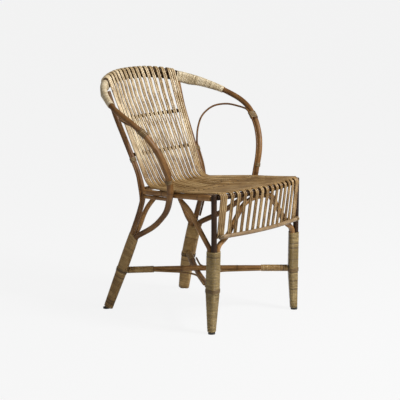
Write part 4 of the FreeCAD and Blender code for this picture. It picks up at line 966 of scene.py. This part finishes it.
def arm_bundle(s):
    place = ARM_WRAP_PLACES[0] + s / hoop_length
    centre, axis = hoop_place(place)
    down = rail_half[np.linalg.norm(rail_half - centre, axis=1).argmin()] - centre
    down = unit(down - axis * (down @ axis))
    share = float(np.interp(place, ARM_WRAP_PLACES, ARM_WRAP_SHARES))
    radius = (POLE - 2 * GAP) * (1 - share) + INNER_RAIL * share
    return axis, [(centre, POLE + GAP), (centre + down * INNER_DROP * share, radius + GAP)]


arm_wrap = Pieces()
add_turns(arm_wrap, arm_bundle, (ARM_WRAP_PLACES[-1] - ARM_WRAP_PLACES[0]) * hoop_length, ARM_WRAP_PITCH, PEEL,
          dark_share=ARM_DARK_SHARE, samples=ARM_WRAP_SAMPLES)
arm_wrap.make("right_arm_wrap_turns", "arm_peel_skin", "peel", "right_arm_wrap")
flipped(arm_wrap).make("left_arm_wrap_turns", "arm_peel_skin", "peel", "left_arm_wrap")

# Bindings of the thin loops

loop_line = lines["right_arm_loop"]
post_line = lines["right_rear_post"]
RING_PLACES = (0.533, 0.556)
RING_PITCH = 4.8 * MM
POST_RING_HEIGHTS = (487.8 * MM, 499.9 * MM)


def ring_bundle(s):
    centre, axis = hoop_place(RING_PLACES[0] + s / hoop_length)
    return axis, bundle_in_plane(centre, axis, [(hoop_half, POLE), (loop_line, LOOP)])


def post_ring_bundle(s):
    centre, axis = point_at_height(post_line, POST_RING_HEIGHTS[0] + s)
    return axis, bundle_in_plane(centre, axis, [(post_line, POLE), (loop_line[:len(loop_line) // 2], LOOP)])


rings = Pieces()
add_turns(rings, ring_bundle, (RING_PLACES[1] - RING_PLACES[0]) * hoop_length, RING_PITCH, PEEL, 0, 0)
add_turns(rings, post_ring_bundle, POST_RING_HEIGHTS[1] - POST_RING_HEIGHTS[0], BAND_PITCH, PEEL, 0, 0)
rings.extend(flipped(rings))
rings.make("loop_bindings_turns", "brown_peel_skin", "peel", "loop_bindings")


def straight_bundle(start, axis, radius):
    """Bundle of one straight pole, for add_turns."""
    return lambda s: (axis, [(start + axis * s, radius + GAP)])


# Wraps on the ends of the stretchers, which begin nearer to the legs than the stretchers do

STRETCHER_WRAP = 82 * MM
WRAP_LEAD = 4 * MM
STRETCHER_PITCH = 4.4 * MM
STRETCHER_DARK_SHARE = 0.08
wraps = Pieces()
for line in stretcher_lines:
    for run in (line, line[::-1]):
        axis = unit(run[2] - run[0])
        add_turns(wraps, straight_bundle(run[0] - axis * WRAP_LEAD, axis, STRETCHER), STRETCHER_WRAP + WRAP_LEAD,
                  STRETCHER_PITCH, PEEL, dark_share=STRETCHER_DARK_SHARE)
wraps.make("stretcher_wraps_turns", "rear_peel_skin", "peel", "stretcher_wraps")

# Turns between the slats, on the hoop and on the rails behind the slats, near black as painted shade where they lie
# behind the slats

# The back of a cane is its part above this height, and the bow is the hoop's part above its own
BACK_BOTTOM = 0.47
BOW_BOTTOM = 0.7
FINE_STEP = 1.5 * MM
THIN_PEEL = 1.3 * MM
FILL_WIDTH = 4.2 * MM
FILL_SAMPLES = 20
FILL_TONE = 0.15
FILL_ROUNDING = 0.35
BOW_ENDS = 12 * MM
RAIL_TURN_SHARE = 0.98


def slat_places(line):
    """Places along a rail where each slat's canes pass it."""
    lengths = lengths_along(line)
    places = []
    for pair in slat_lines:
        spots = []
        for cane in pair:
            upper = cane[cane[:, 2] > BACK_BOTTOM]
            spots.append(lengths[np.linalg.norm(line[:, None] - upper[None], axis=2).min(1).argmin()])
        places.append(sorted(spots))
    return sorted(places), lengths


def add_between(pieces, line, radius, ends=0):
    """Turns that fill a rail's length between neighbouring slats."""
    places, lengths = slat_places(line)
    spans = []
    for (_, before), (after, _) in zip(places, places[1:]):
        spans.append((before + CANE + GAP, after - CANE - GAP))
    if ends:
        spans.insert(0, (places[0][0] - ends, places[0][0] - CANE - GAP))
        spans.append((places[-1][1] + CANE + GAP, places[-1][1] + ends))
    for low, high in spans:
        count = int((high - low) / FILL_WIDTH + FILL_ROUNDING)
        for number in range(count):
            pitch = (high - low) / count
            centre, axis = point_along(line, lengths, low + (number + 0.5) * pitch)
            tone = MIDDLE_TONE + random.uniform(-FILL_TONE, FILL_TONE)
            add_turn(pieces, [(centre, radius + GAP / 2)], axis, pitch * COVER, THIN_PEEL, FILL_SAMPLES, 0.0, tone)


fine_hoop = resample(hoop_line, FINE_STEP)
bow_turns = Pieces()
add_between(bow_turns, fine_hoop[fine_hoop[:, 2] > BOW_BOTTOM], POLE, BOW_ENDS)
bow_turns.make("bow_turns", "painted_shade_peel_skin", "peel")

rail_turns = Pieces()
for name, radius in (("hoop_inner_rail", INNER_RAIL), ("upper_back_rail", BACK_RAIL), ("lower_back_rail", BACK_RAIL)):
    add_between(rail_turns, resample(lines[name], FINE_STEP), radius * RAIL_TURN_SHARE)
rail_turns.make("back_rail_turns", "painted_shade_peel_skin", "peel")

# Small bindings: the arms at the seat, the ends of the apron rail

ARM_SEAT_HEIGHT = 449 * MM
BINDING_LENGTH = 12 * MM
BINDING_TILT = 0.1
ARM_BINDING_PEEL = 1.6 * MM
RAIL_BINDING_PEEL = 1.2 * MM
low_hoop = hoop_half[:len(hoop_half) * 2 // 3]
small = Pieces()
for side in (1, -1):
    centre, axis = point_at_height(low_hoop * (side, 1, 1), ARM_SEAT_HEIGHT)
    add_turns(small, straight_bundle(centre, axis, POLE), BINDING_LENGTH, BAND_PITCH, ARM_BINDING_PEEL,
              BINDING_TILT, 0)
    rail = lines["apron_rail"][::side]
    axis = unit(rail[2] - rail[0])
    add_turns(small, straight_bundle(rail[0] + axis * MM, axis, APRON_RAIL), BINDING_LENGTH, BAND_PITCH,
              RAIL_BINDING_PEEL, BINDING_TILT, 0)
small.make("small_bindings", "brown_peel_skin", "peel")

# Kept solids: glides and nails

for title, material in (("glides", glide_material()), ("seat_nails", nail_material())):
    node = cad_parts[title]
    node.data.materials.clear()
    node.data.materials.append(material)

# Camera, as the photograph

FRAME_WIDTH = 400
FOCAL = 1727.9
SENSOR = 36.0
AZIMUTH = math.radians(-48.9425)
ELEVATION = math.radians(10.7605)
DISTANCE = 5.4667
TARGET = np.array((-0.0484, -0.06173, 0.37297))
FAR = 100
# Level directions from the chair: to the camera's right, and towards the camera
RIGHTWARD = np.array((math.cos(AZIMUTH), math.sin(AZIMUTH), 0))
TOWARD = np.array((math.sin(AZIMUTH), -math.cos(AZIMUTH), 0))

backward = TOWARD * math.cos(ELEVATION) + UP * math.sin(ELEVATION)
camera = bpy.data.objects.new("camera", bpy.data.cameras.new("camera"))
camera.data.sensor_width = SENSOR
camera.data.lens = FOCAL / FRAME_WIDTH * SENSOR
camera.data.clip_end = FAR
camera.location = (TARGET + backward * DISTANCE).tolist()
camera.rotation_euler = (math.pi / 2 - ELEVATION, 0, AZIMUTH)
bpy.context.scene.collection.objects.link(camera)
bpy.context.scene.camera = camera

# Floor, world and lamps

BACKDROP = (0.925, 0.925, 0.925, 1)
FLOOR_COLOUR = (0.8, 0.8, 0.8, 1)
FLOOR_ROUGHNESS = 0.9
FLOOR_HALF = 30.0
# Share of the plain backdrop colour in what the camera sees of the floor. The rest keeps the chair's shadow.
BACKDROP_SHARE = 0.95
WORLD_LIGHT = 0.3
CHAIR_MIDDLE = np.array((0, 0, 0.4))
LAMP_DISTANCE = 3.2
# Name, right, toward the camera, up, power and size
LAMPS = (("key", 0.7, 0.4, 0.75, 150, 0.8), ("fill", -0.6, 0.8, 0.4, 12, 2.0))


def add_floor():
    mesh = bpy.data.meshes.new("floor")
    corners = [(x * FLOOR_HALF, y * FLOOR_HALF, 0) for x, y in ((-1, -1), (1, -1), (1, 1), (-1, 1))]
    mesh.from_pydata(corners, [], [(0, 1, 2, 3)])
    piece = bpy.data.objects.new("floor", mesh)
    bpy.context.scene.collection.objects.link(piece)
    material = bpy.data.materials.new("floor_plain")
    material.use_nodes = True
    nodes, links = material.node_tree.nodes, material.node_tree.links
    base = nodes["Principled BSDF"]
    base.inputs["Base Color"].default_value = FLOOR_COLOUR
    base.inputs["Roughness"].default_value = FLOOR_ROUGHNESS
    glow = nodes.new("ShaderNodeEmission")
    glow.inputs["Color"].default_value = BACKDROP
    share = nodes.new("ShaderNodeMath")
    share.operation = "MULTIPLY"
    share.inputs[1].default_value = BACKDROP_SHARE
    links.new(nodes.new("ShaderNodeLightPath").outputs["Is Camera Ray"], share.inputs[0])
    blend = nodes.new("ShaderNodeMixShader")
    for socket, source in zip(blend.inputs, (share, base, glow)):
        links.new(source.outputs[0], socket)
    links.new(blend.outputs[0], nodes["Material Output"].inputs["Surface"])
    mesh.materials.append(material)


def add_world():
    world = bpy.data.worlds.new("studio")
    bpy.context.scene.world = world
    world.use_nodes = True
    nodes, links = world.node_tree.nodes, world.node_tree.links
    light = nodes["Background"]
    light.inputs["Color"].default_value = (1, 1, 1, 1)
    light.inputs["Strength"].default_value = WORLD_LIGHT
    shown = nodes.new("ShaderNodeBackground")
    shown.inputs["Color"].default_value = BACKDROP
    shown.inputs["Strength"].default_value = 1.0
    blend = nodes.new("ShaderNodeMixShader")
    links.new(nodes.new("ShaderNodeLightPath").outputs["Is Camera Ray"], blend.inputs[0])
    links.new(light.outputs[0], blend.inputs[1])
    links.new(shown.outputs[0], blend.inputs[2])
    links.new(blend.outputs[0], nodes["World Output"].inputs["Surface"])


add_floor()
add_world()
for name, right, toward, up, power, width in LAMPS:
    direction = unit(RIGHTWARD * right + TOWARD * toward + UP * up)
    lamp = bpy.data.objects.new(name, bpy.data.lights.new(name, "AREA"))
    lamp.data.energy = power
    lamp.data.size = width
    lamp.location = (CHAIR_MIDDLE + direction * LAMP_DISTANCE).tolist()
    lamp.rotation_euler = Vector((-direction).tolist()).to_track_quat("-Z", "Y").to_euler()
    bpy.context.scene.collection.objects.link(lamp)

bpy.context.scene.view_settings.view_transform = "Standard"
